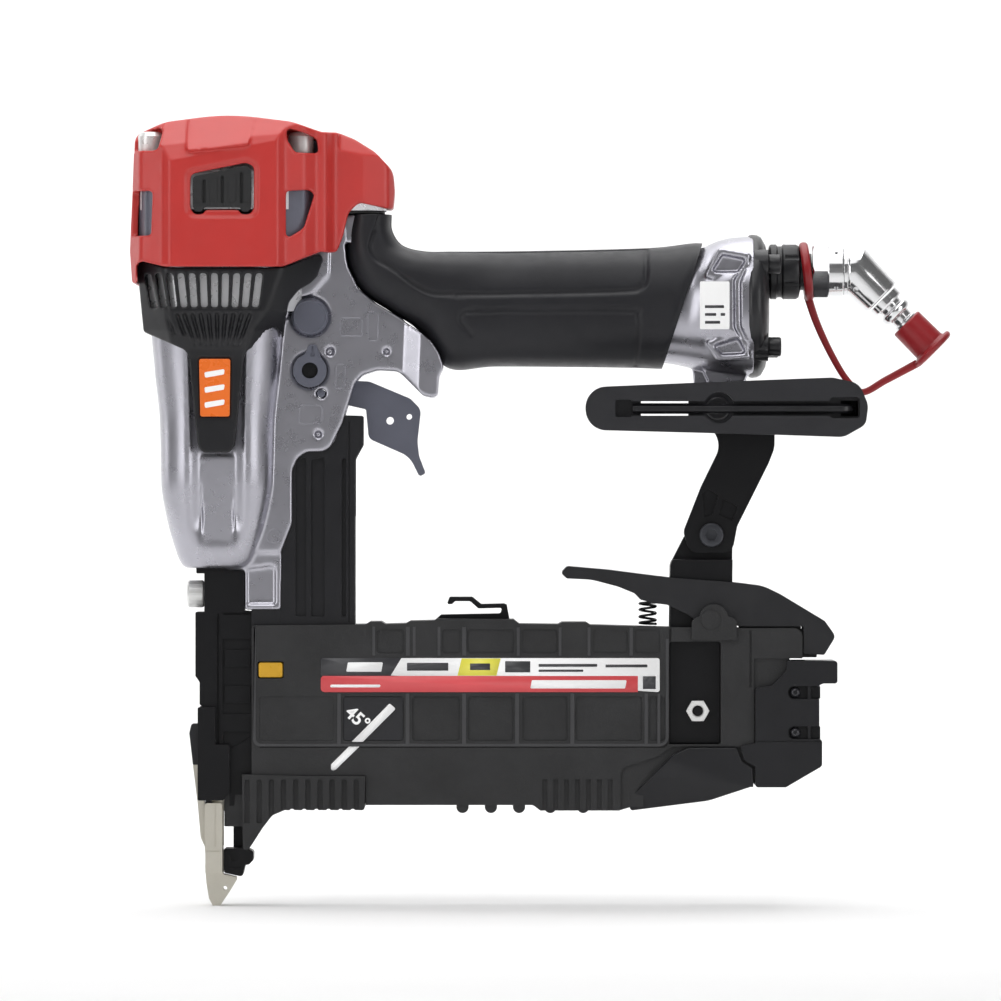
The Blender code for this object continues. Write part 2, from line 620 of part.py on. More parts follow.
def make_controls():
    near = -HOUSING_HALF - GAP
    x, z = DIAL_CENTRE
    dial = rod("lock_dial", 5.9, (x, near - 2.6, z), (x, near, z), GREY_STEEL, 24)
    pointer = plate("dial_pointer", [(x - 3.8, z + 2.0), (x + 0.2, z + 9.2, 1), (x + 2.4, z + 9.2, 1),
        (x + 4.2, z + 2.0)], near - 2.6, near)
    axle = rod("dial_axle", 2.2, (x, near - 1, z), (x, -7.2, z), sides=12)
    fuse(dial, pointer, axle)
    cut(dial, rod("dial_socket", 2.5, (x, near - 4, z), (x, near - 1.4, z), sides=16))
    pivot("dial_pivot", (x, 0, z), dial)
    px, pz = PLUG_CENTRE
    turned(
        "pivot_plug",
        [(0, GAP), (6.6, GAP), (6.6, 2.6), (5.6, 3.4), (0, 3.4)],
        (px, -HOUSING_HALF, pz), -Y_AXIS, GREY_STEEL, 24,
    )


# ---------------------------------------------------------------- air inlet


def make_inlet():
    end_cap = turned(
        "end_cap",
        [(0, 190.4), (24.6, 190.4), (25.4, 191.2), (25.4, 193.8), (23.6, 195.6), (19.0, 197.2), (0, 197.6)],
        (0, 0, END_CAP_Z), X_AXIS, BLACK_STEEL, 36,
    )
    cut(end_cap, rod("inlet_bore", 6.5, (185, 0, INLET_Z), (205, 0, INLET_Z), sides=20))
    for name, y, z in end_cap_bolt_places():
        seat = rod(f"{name}_seat", 4.9, (193.0, y, z), (197.0, y, z), sides=16)
        fuse(end_cap, seat)
        cut(end_cap, rod(f"{name}_way", 1.9 + GAP, (185.0, y, z), (205.0, y, z), sides=12))
        socket_bolt(name, (197.3, y, z), X_AXIS, 3.5, 4.6, 1.9, 12.0, 1.9, BLACK_STEEL)
    turned(
        "inlet_neck",
        [(4.0, 192.0), (6.2, 192.0), (6.2, 197.9), (9.9, 197.9), (9.9, 208.6), (6.6, 209.2), (6.6, 213.2),
            (4.0, 213.2)],
        (0, 0, INLET_Z), X_AXIS, BLACK_PLASTIC, 24,
    )
    nut = rod("plug_nut", 10.7, (213.5, 0, INLET_Z), (219.4, 0, INLET_Z), CHROME, 6, math.radians(30))
    fuse(nut, rod("nut_collar", 8.7, (219.0, 0, INLET_Z), (225.0, 0, INLET_Z), sides=24))
    cut(nut, rod("nut_bore", 3.5, (210, 0, INLET_Z), (230, 0, INLET_Z), sides=16))

    centre = Vector((ELBOW_X, 0, INLET_Z))
    elbow = elbow_body(centre)
    ring = turned("strap_ring", [(7.0, 209.5), (9.6, 209.5), (10.4, 210.4), (10.4, 212.2), (9.6, 213.0),
        (7.0, 213.0)], (0, 0, INLET_Z), X_AXIS, RED_RUBBER, 24)
    pivot("swivel_pivot", (ELBOW_X, 0, INLET_Z), elbow, ring)

    nipple = turned(
        "plug_nipple",
        [(2.4, 14.2), (5.8, 14.2), (5.8, 16.6), (4.3, 17.2), (4.3, 18.6), (5.6, 19.2), (5.6, 21.6),
            (3.9, 22.6), (3.9, 24.6), (4.7, 25.0),
         (4.7, 35.0), (4.0, 36.2), (2.4, 36.2)],
        centre, LEG_DIRECTION, CHROME, 20,
    )
    pivot("plug_spin", centre + LEG_DIRECTION * 20, nipple)
    cap = turned(
        "dust_cap",
        [(0, 40.6), (7.6, 40.6), (8.4, 39.8), (8.4, 38.6), (5.9, 38.2), (5.9, 26.6), (5.1, 26.2),
            (5.1, 36.8), (0, 36.8)][::-1],
        centre, LEG_DIRECTION, RED_RUBBER, 24,
    )
    pivot("dust_cap_slide", centre + LEG_DIRECTION * 38, cap)
    make_strap()


def elbow_body(centre):
    """A mitred tube: level from the collar to the centre, then 45 degrees down to the nipple."""
    sides, big, small = 24, 8.3, 7.4
    rings = []
    bisector = (X_AXIS + LEG_DIRECTION).normalized()
    stations = (
        (centre - X_AXIS * 3.7, X_AXIS, big, 1.0),
        (centre, bisector, small + 0.5, 1 / math.cos(math.radians(22.5))),
        (centre + LEG_DIRECTION * 13.6, LEG_DIRECTION, small, 1.0),
    )
    for at, normal, radius, stretch in stations:
        down = Y_AXIS.cross(normal).normalized()
        rings.append([
            at + Y_AXIS * radius * math.cos(math.tau * k / sides) + down * radius * stretch
            * math.sin(math.tau * k / sides)
            for k in range(sides)
        ])
    elbow = loft("swivel_elbow", rings, CHROME)
    cut(elbow, rod("elbow_bore_in", 3.2, centre - X_AXIS * 8, centre + LEG_DIRECTION * 0.5, sides=16))
    cut(elbow, rod("elbow_bore_out", 3.0, centre, centre + LEG_DIRECTION * 20, sides=16))
    return elbow


# The tether's own route in side view, from the ring down, round and up to the cap's rim.
STRAP_ROUTE = [(211.3, 216.9), (213.2, 208.8), (219.8, 194.0), (229.6, 185.2), (240.6, 188.4),
    (249.0, 192.6)]
STRAP_D = 2.4


def smooth_route(route, steps):
    """Points along a smooth curve through the route's own points."""
    ends = [2 * Vector(route[0]) - Vector(route[1]), *map(Vector, route),
        2 * Vector(route[-1]) - Vector(route[-2])]
    made = []
    for before, start, end, after in zip(ends, ends[1:], ends[2:], ends[3:]):
        for k in range(steps):
            t = k / steps
            made.append(
                0.5 * (2 * start + (end - before) * t + (2 * before - 5 * start + 4 * end - after) * t**2
                       + (3 * start - before - 3 * end + after) * t**3)
            )
    return [*made, Vector(route[-1])]


def make_strap():
    points = smooth_route(STRAP_ROUTE, 4)
    curve = bpy.data.curves.new("cap_strap", "CURVE")
    curve.dimensions = "3D"
    curve.bevel_depth = STRAP_D / 2 * MM
    curve.bevel_resolution = 2
    curve.use_fill_caps = True
    spline = curve.splines.new("POLY")
    spline.points.add(len(points) - 1)
    for point, (x, z) in zip(spline.points, points):
        point.co = (*frame((x, 0, z)), 1.0)
    curve.materials.append(RED_RUBBER)
    strap = bpy.data.objects.new("cap_strap", curve)
    bpy.context.scene.collection.objects.link(strap)


# ---------------------------------------------------------------- nose and contact arm


def make_nose():
    guide = box("driver_guide", (-2.4, -5.0, 34.0), (2.6, 5.0, 142.0), STEEL)
    cut(guide, box("guide_channel", (-0.9, -2.25, 15.0), (0.9, 2.25, 150.0)))
    cut(guide, box("feed_mouth", (-0.9, -2.25, 42.0), (6.0, 2.25, 97.5)))
    housing = plate(
        "nose_housing",
        [
            (-5.0, 120.2), (-5.0, 105.6), (-8.2, 105.6), (-8.2, 82.6), (-6.7, 80.4), (-6.7, 72.4),
            (-5.6, 71.6), (-5.6, 51.0),
            (-4.6, 50.0), (-4.6, 36.0), (-2.8, 34.0), (-2.8, 52.0), (4.0, 52.0), (4.0, 36.0), (5.6, 36.0),
            (6.0, 40.0), (8.6, 40.0),
            (8.6, 47.3), (12.0, 47.3), (12.0, 105.8), (9.2, 106.0), (9.2, 120.2),
        ],
        -9.4, 9.4, BLACK_STEEL,
    )
    cut(
        housing,
        box("guide_seat", (-2.7, -5.3, 10.0), (2.9, 5.3, 130.0)),
        box("nose_feed", (0.0, -CHANNEL_HALF, 41.0), (20.0, CHANNEL_HALF, 98.4)),
        box("link_slot", (3.4, 6.4, 10.0), (20.0, 12.0, 124.0)),
        box("lug_clearance", (9.3, -12.0, 106.1), (24.0, 12.0, 125.0)),
        rod("nose_bolt_hole", 2.4 + GAP, (-15, 0, 112.0), (-2, 0, 112.0), sides=12),
    )
    bolt = socket_bolt("nose_bolt", (-5.3, 0, 112.0), -X_AXIS, 4.9, 6.0, 2.4, 2.3, 2.5, STEEL)
    return guide, housing, bolt


def make_contact_arm():
    outline = [
        (-7.1, 65.4), (-9.8, 65.4, 1), (-10.6, 62.0, 1), (-9.3, 50.6), (-7.5, 36.4), (-6.4, 24.6),
        (-4.0, 18.9), (-4.9, 14.4), (-4.4, 8.0),
        (-3.5, 2.6), (-2.1, 0.0), (0.6, 0.0), (3.6, 4.4), (6.4, 9.0), (6.4, 10.2), (1.6, 11.3), (1.6, 19.6),
        (-2.6, 19.6),
        (-5.0, 24.4), (-5.0, 37.0), (-7.1, 40.6),
    ]
    foot = plate("contact_foot", outline, -4.4, 4.4, STEEL)
    cheeks = plate("foot_cheeks", [(-4.6, 12.0), (1.5, 12.0), (1.5, 37.0, 1), (-4.8, 37.0, 1), (-4.8, 21.0),
        (-4.6, 19.0)], -10.8, 10.8)
    cut(cheeks, box("cheek_gap", (-6.0, -9.7, 21.2), (6.0, 9.7, 50.0)))
    fuse(foot, cheeks)
    cut(foot, box("foot_channel", (-0.9, -2.5, -4.0), (12.0, 2.5, 30.0)))
    block = plate(
        "foot_block",
        [(1.9, 11.8, 1), (8.6, 10.4, 1), (9.6, 14.6), (12.2, 15.0, 1), (12.6, 19.6, 1.5), (9.8, 20.6),
            (1.9, 20.6)],
        -5.4, 8.3, BLACK_STEEL,
    )
    cut(block, box("block_channel", (-4.0, -2.6, 5.0), (5.0, 2.6, 25.0)))
    link = plate(
        "contact_link",
        [(5.0, 15.0), (8.6, 15.0), (8.6, 101.9), (38.0, 101.9), (38.0, 149.0, 2), (31.0, 149.0, 2),
            (31.0, 105.2), (5.0, 105.2)],
        6.8, 8.3, BLACK_STEEL,
    )
    fuse(link, block, box("spring_seat", (32.0, -4.0, 127.0), (38.0, 7.4, 129.0)))
    pivot("contact_slide", (0, 0, 0), foot, link)
    spring("contact_spring", (35.0, 0, 129.9), 161.4, 2.9, 0.8, 8, STEEL)
    cover = plate(
        "link_cover",
        [(21.7, 101.7), (49.2, 101.7), (49.2, 161.5, 2), (52.0, 164.6, 1), (52.0, 176.0), (46.4, 176.0),
            (45.2, 173.0), (42.6, 165.4, 4),
         (39.8, 162.6, 3), (31.0, 162.4, 3), (27.0, 158.7, 3), (27.0, 137.3), (23.5, 128.4), (21.7, 124.4)],
        -10.6, 10.6, BLACK_PLASTIC,
    )
    fuse(cover, box("cover_foot", (12.4, -10.6, 101.7), (22.0, 6.0, 106.0)))
    cut(cover, box("cover_hollow_way", (29.4, -8.8, 90.0), (47.4, 8.8, 162.2)))
    cut(cover, box("cover_trigger_way", (36.0, -8.8, 140.0), (60.0, 8.8, 190.0)))
    cut(cover, box("cover_link_way", (20.0, 6.3, 90.0), (32.0, 8.8, 118.0)))
    for x in (30.0, 34.0, 38.0, 42.0, 46.0):
        cut(cover, box(f"flute_{x}", (x - 0.7, -14.0, 90.0), (x + 0.7, -10.0, 158.0)))
    return cover


# ---------------------------------------------------------------- magazine


def make_magazine():
    body = plate(
        "magazine_body",
        [
            (12.4, 60.2), (12.4, 101.0, 1), (53.0, 101.2), (55.0, 102.0), (59.0, 102.0), (61.0, 101.2),
            (68.4, 102.2), (80.0, 103.2),
            (106.0, 103.2), (108.0, 101.2), (162.0, 99.8), (209.6, 99.8, 2), (209.6, 88.6), (210.6, 80.0),
            (210.6, 44.4), (192.0, 44.4), (192.0, 42.8), (147.0, 42.8),
            (147.0, 36.0), (144.0, 34.6), (116.0, 34.6), (113.0, 36.4), (53.6, 36.4), (53.6, 46.9),
            (12.4, 46.9),
        ],
        -MAGAZINE_HALF, MAGAZINE_HALF, BLACK_PLASTIC,
    )
    for y in (-1, 1):
        ear = plate(
            f"latch_ear_{y}",
            [(169.9, 95.4), (186.1, 95.4), (186.1, 102.4, 1), (183.6, 103.6), (180.6, 108.4, 4),
                (174.6, 108.4, 4), (171.8, 103.6), (169.9, 102.4, 1)],
            min(y * 11.9, y * 14.4), max(y * 11.9, y * 14.4),
        )
        fuse(body, ear)
    fuse(body, box("latch_stop", (208.0, -9.0, 89.3), (214.6, 9.0, 97.6)))
    cut(
        body,
        box("drawer_channel", (0.0, -CHANNEL_HALF, 48.0), (230.0, CHANNEL_HALF, 92.4)),
        box("rear_mouth", (205.0, -MAGAZINE_HALF - 2, 20.0), (230.0, MAGAZINE_HALF + 2, 89.0)),
        box("staple_window", (14.2, -20.0, 81.8), (23.4, 0.0, 87.8)),
        rod("magazine_bolt_hole", 2.0 + GAP, (MAGAZINE_BOLT[0], -20, MAGAZINE_BOLT[1]),
            (MAGAZINE_BOLT[0], 20, MAGAZINE_BOLT[1]), sides=12),
        rod("latch_pin_hole", 2.0 + GAP, (LATCH_PIVOT[0], -20, LATCH_PIVOT[1]),
            (LATCH_PIVOT[0], 20, LATCH_PIVOT[1]), sides=12),
        box("link_groove", (0.0, 6.4, 99.4), (40.0, 20.0, 110.0)),
    )
    for side in (-1, 1):
        low, high = sorted((side * 6.0, side * 20.0))
        cut(body, plate(f"stay_recess_{side}", [(161.6, 57.8), (180.6, 57.8, 1), (180.6, 94.8, 1),
            (161.6, 94.8, 1)], low, high))
        slot_low, slot_high = sorted((side * 6.0, side * 9.1))
        cut(body, box(f"stay_slot_{side}", (161.6, slot_low, 90.0), (185.4, slot_high, 112.0)))
        low, high = sorted((side * (MAGAZINE_HALF - 0.8), side * 20.0))
        panels = ((14.6, 36.0), (43.2, 67.4), (69.4, 87.6), (89.2, 106.8), (108.4, 125.8), (127.4, 153.6))
        for x0, x1 in panels:
            cut(body, plate(f"panel_low_{side}_{x0}", [(x0, 59.6, 1), (x1, 59.6, 1), (x1, 75.6, 1),
                (x0, 75.6, 1)], low, high, steps=1))
        for x0, x1 in panels[1:]:
            cut(body, plate(f"panel_high_{side}_{x0}", [(x0, 90.6, 1), (x1, 90.6, 1), (x1, 98.6, 1),
                (x0, 98.6, 1)], low, high, steps=1))
        cut(body, box(f"skirt_line_{side}", (10.0, low, 57.2), (161.0, high, 58.0)))
        shelf_low, shelf_high = sorted((side * 11.9, side * 20.0))
        cut(body, box(f"rear_step_{side}", (186.6, shelf_low, 30.0), (220.0, shelf_high, 89.0)))
        cut(body, box(f"guard_step_{side}", (144.4, shelf_low, 30.0), (200.0, shelf_high, 57.4)))

    shoe = plate(
        "front_shoe",
        [(9.0, 46.6), (9.0, 20.4, 1), (11.0, 20.4, 1), (15.6, 28.2, 6), (20.6, 33.6, 4), (24.0, 34.6),
            (52.6, 34.6, 1), (52.9, 46.6), (30.0, 46.6)],
        -14.6, 14.6, BLACK_PLASTIC,
    )
    cut(shoe, box("shoe_nose_way", (0.0, -CHANNEL_HALF - 0.6, 10.0), (16.0, CHANNEL_HALF + 5.0, 50.0)))
    for i in range(10):
        x = 9.0 + 4.4 * i
        for side in (-1, 1):
            low, high = sorted((side * 13.6, side * 20.0))
            cut(shoe, box(f"shoe_rib_{i}_{side}", (x, low, 33.0), (x + 1.8, high, 46.0)))
    guard = plate(
        "rear_guard",
        [(146.6, 34.2, 1), (146.6, 38.0, 2), (158.9, 50.6, 5), (168.4, 56.9, 4), (186.0, 56.9, 1),
            (187.9, 52.1), (191.6, 49.9, 1), (192.0, 43.3), (178.0, 38.0, 30)],
        -15.2, 15.2, BLACK_RUBBER,
    )
    cut(guard, box("guard_hollow", (140.0, -12.2, 42.4), (200.0, 12.2, 70.0)))
    cut(guard, box("guard_front_step", (140.0, -20, 30.0), (147.4, 20, 70.0)))

    clip = plate(
        "accessory_clip",
        [(80.4, 103.6), (106.4, 103.6), (103.6, 108.4, 1), (94.2, 108.4), (91.6, 110.6), (83.0, 110.6, 1),
            (82.4, 108.2, 0.6), (84.4, 108.8), (90.6, 108.9),
         (93.4, 106.8), (101.4, 106.8, 1), (101.4, 105.0, 0.8), (80.4, 104.9)],
        -5.0, 5.0, BLACK_STEEL,
    )
    return body, shoe, guard, clip


def make_drawer():
    rail = plate(
        "staple_rail",
        [(13.2, 48.4), (209.4, 48.4), (209.4, 82.0), (203.0, 88.6, 2), (13.2, 88.6)],
        -0.8, 0.8, STEEL,
    )
    cap = plate(
        "drawer_cap",
        [(188.4, 52.6), (192.7, 50.2), (192.7, 42.2), (203.8, 42.2), (216.6, 50.4, 1), (216.6, 59.6),
            (215.6, 60.4), (215.6, 79.6), (222.1, 80.0, 1),
         (222.1, 88.1, 1), (203.8, 88.1, 1), (203.8, 84.4), (198.4, 78.9), (192.7, 78.4, 1), (192.7, 58.8),
         (187.4, 57.6)],
        -14.8, 14.8, BLACK_PLASTIC,
    )
    cut(
        cap,
        box("cap_hollow", (180.0, -12.2, 42.4 + 1.6), (211.2, 12.2, 95.0)),
        box("rail_seat", (205.0, -0.8 - GAP, 40.0), (209.8, 0.8 + GAP, 99.0)),
        box("cap_body_way", (180.0, -12.2, 30.0), (193.2, 12.2, 60.0)),
    )
    for z in (76.4, 62.6):
        cut(cap, plate(f"screw_pocket_{z}", [(204.6, z - 2.2, 2), (217.0, z - 2.2), (217.0, z + 2.2),
            (204.6, z + 2.2, 2)], -20.0, -13.4))
    pusher = box("pusher", (13.4, -4.2, 60.0), (32.0, 4.2, 89.8), YELLOW_PLASTIC)
    cut(pusher, box("pusher_slot", (0.0, -1.1, 50.0), (40.0, 1.1, 88.9)))
    drawer = pivot("drawer_slide", (210, 0, 60), rail, cap)
    slide = pivot("pusher_slide", (23, 0, 78), pusher)
    slide.parent = drawer
    slide.matrix_parent_inverse = Matrix.Translation(-drawer.location)


def make_latch():
    outline = [
        (122.9, 119.9, 1.2), (125.4, 122.0, 1), (140.0, 120.6), (162.6, 117.9), (185.4, 116.0),
        (195.6, 114.7, 8), (201.0, 112.3, 8),
        (217.7, 102.0, 2), (221.4, 96.8, 3), (217.7, 90.4, 1), (210.2, 90.6), (210.2, 101.0),
        (189.0, 101.3), (172.6, 101.9, 1), (168.0, 105.0, 2), (161.1, 108.2, 1),
        (156.7, 108.7), (151.4, 110.2), (149.6, 112.2, 2), (143.5, 114.7, 10), (134.0, 117.2),
        (125.1, 118.1, 1),
    ]
    lever = plate("latch_lever", outline, -11.4, 11.4, BLACK_STEEL)
    inside = [(152.0, 106.0), (164.0, 114.8), (185.0, 113.4), (196.0, 111.6), (214.0, 101.0), (216.6, 96.6),
        (216.0, 86.0), (152.0, 86.0)]
    cut(
        lever,
        plate("lever_channel", inside, -9.4, 9.4),
        box("lever_stay_way", (158.4, -9.1, 100.0), (190.4, 9.1, 130.0)),
        rod("lever_pin_hole", 2.0 + GAP, (LATCH_PIVOT[0], -15, LATCH_PIVOT[1]),
            (LATCH_PIVOT[0], 15, LATCH_PIVOT[1]), sides=12),
    )
    pivot("latch_pivot", (LATCH_PIVOT[0], 0, LATCH_PIVOT[1]), lever)
    rod("latch_pin", 2.0, (LATCH_PIVOT[0], -14.2, LATCH_PIVOT[1]), (LATCH_PIVOT[0], 14.2, LATCH_PIVOT[1]),
        BLACK_STEEL, 12)
    spring("latch_spring", (154.3, 0, 101.2), 108.9, 2.9, 0.9, 4, BLACK_STEEL)


# ---------------------------------------------------------------- stay and hook


def make_stay():
    x, z = STAY_BOLT
    upper = plate(
        "stay_upper",
        [(171.4, 176.0, 5), (174.0, 185.4, 5), (188.0, 185.4, 5), (199.9, 176.0, 8), (199.6, 164.6, 6),
            (197.4, 158.6), (186.6, 136.6, 3), (184.6, 126.8, 4),
         (169.4, 126.8, 4), (167.2, 134.4, 4), (173.4, 150.7), (181.4, 167.0, 8)],
        -6.6, -3.3, BLACK_STEEL,
    )
    cut(
        upper,
        rod("upper_hook_hole", 2.5 + GAP, (HOOK_BOLT[0], -20, HOOK_BOLT[1]),
            (HOOK_BOLT[0], 20, HOOK_BOLT[1]), sides=12),
        rod("upper_stay_hole", 2.5 + GAP, (x, -20, z), (x, 20, z), sides=12),
        plate("stay_window_a", [(173.6, 148.4), (177.0, 149.6, 0.5), (180.0, 141.0, 0.5), (174.4, 139.4)],
            -5.4 - 4, -5.4),
        plate("stay_window_b", [(182.0, 146.4, 0.5), (186.2, 145.0), (183.4, 138.4), (179.8, 138.8, 0.5)],
            -5.4 - 4, -5.4),
    )
    lower = plate(
        "stay_lower",
        [(162.0, 58.4), (180.2, 58.4), (180.2, 95.0), (184.4, 102.0), (184.8, 133.0, 3), (182.4, 139.0, 3),
            (171.6, 139.0, 3), (167.2, 132.3), (162.3, 122.8, 2), (162.0, 96.0)],
        -8.8, 8.8, BLACK_STEEL,
    )
    cut(
        lower,
        box("fork_gap", (150.0, -6.3, 50.0), (200.0, 6.3, 118.0)),
        box("tongue_near", (150.0, -12.0, 124.4), (200.0, -3.0, 150.0)),
        box("tongue_far", (150.0, 3.0, 124.4), (200.0, 12.0, 150.0)),
        rod("lower_stay_hole", 2.5 + GAP, (x, -20, z), (x, 20, z), sides=12),
        rod("lower_latch_hole", 2.6, (LATCH_PIVOT[0], -20, LATCH_PIVOT[1]),
            (LATCH_PIVOT[0], 20, LATCH_PIVOT[1]), sides=12),
        rod("lower_magazine_hole", 2.0 + GAP, (MAGAZINE_BOLT[0], -20, MAGAZINE_BOLT[1]),
            (MAGAZINE_BOLT[0], 20, MAGAZINE_BOLT[1]), sides=12),
    )
    socket_bolt("stay_bolt", (x, -6.9, z), -Y_AXIS, 4.4, 2.2, 2.5, 11.0, 2.3, BLACK_STEEL)
    mx, mz = MAGAZINE_BOLT
    bolt = rod("magazine_bolt", 4.04, (mx, -9.1, mz), (mx, -12.3, mz), STEEL, 6)
    fuse(bolt, rod("bolt_shank", 2.0, (mx, -5.4, mz), (mx, -10.0, mz), sides=12))
    return upper, lower, bolt


def make_hook():
    x, z = HOOK_BOLT
    near_face, back_face = -36.0, -28.8
    outline = [
        (132.3, 178.4, 7.4), (132.6, 185.6, 7), (174.2, 187.7), (220.5, 189.3, 6), (229.0, 186.4, 4),
        (232.2, 178.4, 5), (231.0, 173.4, 3),
        (224.1, 168.4, 3), (199.9, 169.0), (138.9, 170.6), (132.6, 171.4, 7),
    ]
    hook = plate("hook", outline, near_face, back_face, BLACK_PLASTIC)
    bridge = plate("hook_bridge", [(214.0, 171.0, 3), (229.0, 171.0, 4), (230.0, 185.8, 4),
        (214.0, 186.6, 3)], back_face - 1.0, -7.2)
    root = plate("hook_root", [(171.0, 178.6, 6), (173.0, 186.0, 5), (216.0, 186.6), (229.0, 185.8, 4),
        (229.0, 171.0, 4), (216.0, 171.0), (173.0, 171.2, 5)], -12.0, -7.2)
    fuse(hook, bridge, root)
    recess = [(142.2, 181.3, 0.8), (148.0, 181.3), (148.0, 181.0), (218.9, 181.0), (218.9, 182.2, 0.5),
        (229.3, 182.2, 0.8), (229.3, 175.2, 0.8), (218.9, 175.2, 0.5),
              (218.9, 175.8), (148.0, 175.8), (148.0, 175.6), (142.2, 175.6, 0.8)]
    cut(
        hook,
        plate("wrench_recess", recess, near_face - 2, near_face + 4.6),
        box("wrench_elbow_way", (222.6, near_face - 2, 175.6), (228.8, -16.0, 181.2)),
        box("clip_slit_high", (151.4, near_face - 2, 180.2), (168.3, back_face + 2, 181.0)),
        box("clip_slit_low", (151.4, near_face - 2, 175.8), (168.3, back_face + 2, 176.6)),
        rod("bolt_access", 5.7, (x, near_face - 2, z), (x, back_face + 2, z), sides=20),
        rod("hook_hole", 2.5 + GAP, (x, -20, z), (x, 0, z), sides=12),
    )
    flat = 3.0 / 2 / math.cos(math.radians(30))
    wrench = rod("hex_wrench", flat, (148.4, -33.6, 178.3), (225.8, -33.6, 178.3), BLACK_STEEL, 6,
        math.radians(0))
    fuse(wrench, rod("wrench_elbow", flat, (225.8, -34.6, 178.3), (225.8, -18.0, 178.3), sides=6,
        turn=math.radians(30)))
    pivot("wrench_slide", (190, -33.6, 178.3), wrench)
    socket_bolt("hook_bolt", (x, -12.3, z), -Y_AXIS, 4.3, 3.4, 2.5, 18.0, 2.3, BLACK_STEEL)
    return hook


make_casting()
make_head()
make_top_cover()
make_front_grille()
make_badge()
make_cylinder()
make_grip()
make_trigger()
make_controls()
make_inlet()
make_nose()
make_contact_arm()
make_magazine()
make_drawer()
make_latch()
make_stay()
make_hook()
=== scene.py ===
"""The looks of a pneumatic flooring nailer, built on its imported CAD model.

Shapes are drawn in millimetres from the driver axis, as in the CAD part: X from the nose towards the
air plug, Z up, and -Y the near side, which carries the hook. point() turns them into metres from the origin.
"""

import math

import bmesh
import bpy
from mathutils import Matrix, Vector


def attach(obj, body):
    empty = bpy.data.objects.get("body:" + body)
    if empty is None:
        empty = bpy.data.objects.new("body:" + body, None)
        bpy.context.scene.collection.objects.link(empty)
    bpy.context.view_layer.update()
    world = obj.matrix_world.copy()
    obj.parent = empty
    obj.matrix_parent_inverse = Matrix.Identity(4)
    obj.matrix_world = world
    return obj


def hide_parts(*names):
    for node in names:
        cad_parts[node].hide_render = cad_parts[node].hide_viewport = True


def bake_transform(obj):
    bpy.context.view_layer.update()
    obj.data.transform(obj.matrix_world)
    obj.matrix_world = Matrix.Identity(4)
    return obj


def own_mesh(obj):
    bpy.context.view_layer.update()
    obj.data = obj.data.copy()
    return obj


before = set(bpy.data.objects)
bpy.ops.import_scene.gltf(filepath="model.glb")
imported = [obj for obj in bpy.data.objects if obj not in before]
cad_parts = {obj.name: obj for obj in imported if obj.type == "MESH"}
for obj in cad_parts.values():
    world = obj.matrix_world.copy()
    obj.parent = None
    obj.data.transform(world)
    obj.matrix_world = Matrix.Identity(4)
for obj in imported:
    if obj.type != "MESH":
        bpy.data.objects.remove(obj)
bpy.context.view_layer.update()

MM = 0.001
TIP_OFFSET = 1.5
X_AXIS, Y_AXIS, Z_AXIS = Vector((1, 0, 0)), Vector((0, 1, 0)), Vector((0, 0, 1))

# Sizes shared by several pieces, in millimetres, as in the CAD part.
HOUSING_HALF = 12
MAGAZINE_HALF = 13
INLET_Z = 227.9
END_CAP_Z = 215.5
ELBOW = Vector((229, 0, INLET_Z))
LEG = Vector((1, 0, -1)).normalized()
DIAL = (33, 192.2)
PLUG = (33, 211.5)
STAY_BOLT = (177.1, 133.2)
MAGAZINE_BOLT = (172.1, 70.1)
LATCH_PIVOT = (177.6, 103.1)
HOOK_BOLT = (179.2, 178.6)
TRIGGER_PIN = (37, 184)
VALVE_X = 48
DRAWER_SCREWS = (76.8, 62.4)


# ---------------------------------------------------------------- shape helpers


def point(x, y, z):
    return Vector(((x + TIP_OFFSET) * MM, y * MM, z * MM))


def new_object(bm, name="blank"):
    """A bmesh drawn in millimetres from the driver axis becomes an object in metres from the origin."""
    for vert in bm.verts:
        vert.co = point(*vert.co)
    bmesh.ops.remove_doubles(bm, verts=bm.verts, dist=1e-6)
    bmesh.ops.recalc_face_normals(bm, faces=bm.faces)
    mesh = bpy.data.meshes.new(name)
    bm.to_mesh(mesh)
    bm.free()
    mesh.shade_smooth()
    obj = bpy.data.objects.new(name, mesh)
    bpy.context.scene.collection.objects.link(obj)
    return obj


def fillet(points, steps=6):
    """Corners given as (a, b, radius) become arcs; corners given as (a, b) stay sharp."""
    made = []
    count = len(points)
    for i, corner in enumerate(points):
        here = Vector(corner[:2])
        radius = corner[2] if len(corner) > 2 else 0
        back = (Vector(points[i - 1][:2]) - here).normalized()
        ahead = (Vector(points[(i + 1) % count][:2]) - here).normalized()
        angle = back.angle(ahead)
        if radius <= 0 or angle > math.radians(176):
            made.append(here)
            continue
        reach = radius / math.tan(angle / 2)
        centre = here + (back + ahead).normalized() * (radius / math.sin(angle / 2))
        start = here + back * reach - centre
        sweep = start.angle_signed(here + ahead * reach - centre)
        for k in range(steps + 1):
            made.append(centre + Matrix.Rotation(-sweep * k / steps, 2) @ start)
    return [tuple(p) for p in made]


def prism(points, low, high, direction):
    """An outline extruded between two heights along direction "X", "Y" or "Z"."""
    place = {
        "X": lambda a, b, h: (h, a, b),
        "Y": lambda a, b, h: (a, h, b),
        "Z": lambda a, b, h: (a, b, h),
    }[direction]
    bm = bmesh.new()
    ring = [bm.verts.new(place(a, b, low)) for a, b in points]
    face = bm.faces.new(ring)
    raised = bmesh.ops.extrude_face_region(bm, geom=[face])["geom"]
    shift = Vector(place(0, 0, high)) - Vector(place(0, 0, low))
    bmesh.ops.translate(bm, vec=shift, verts=[g for g in raised if isinstance(g, bmesh.types.BMVert)])
    return new_object(bm)


def plate(points, near, far, steps=6):
    """A side-view outline (x, z), extruded across the tool."""
    return prism(fillet(points, steps), near, far, "Y")


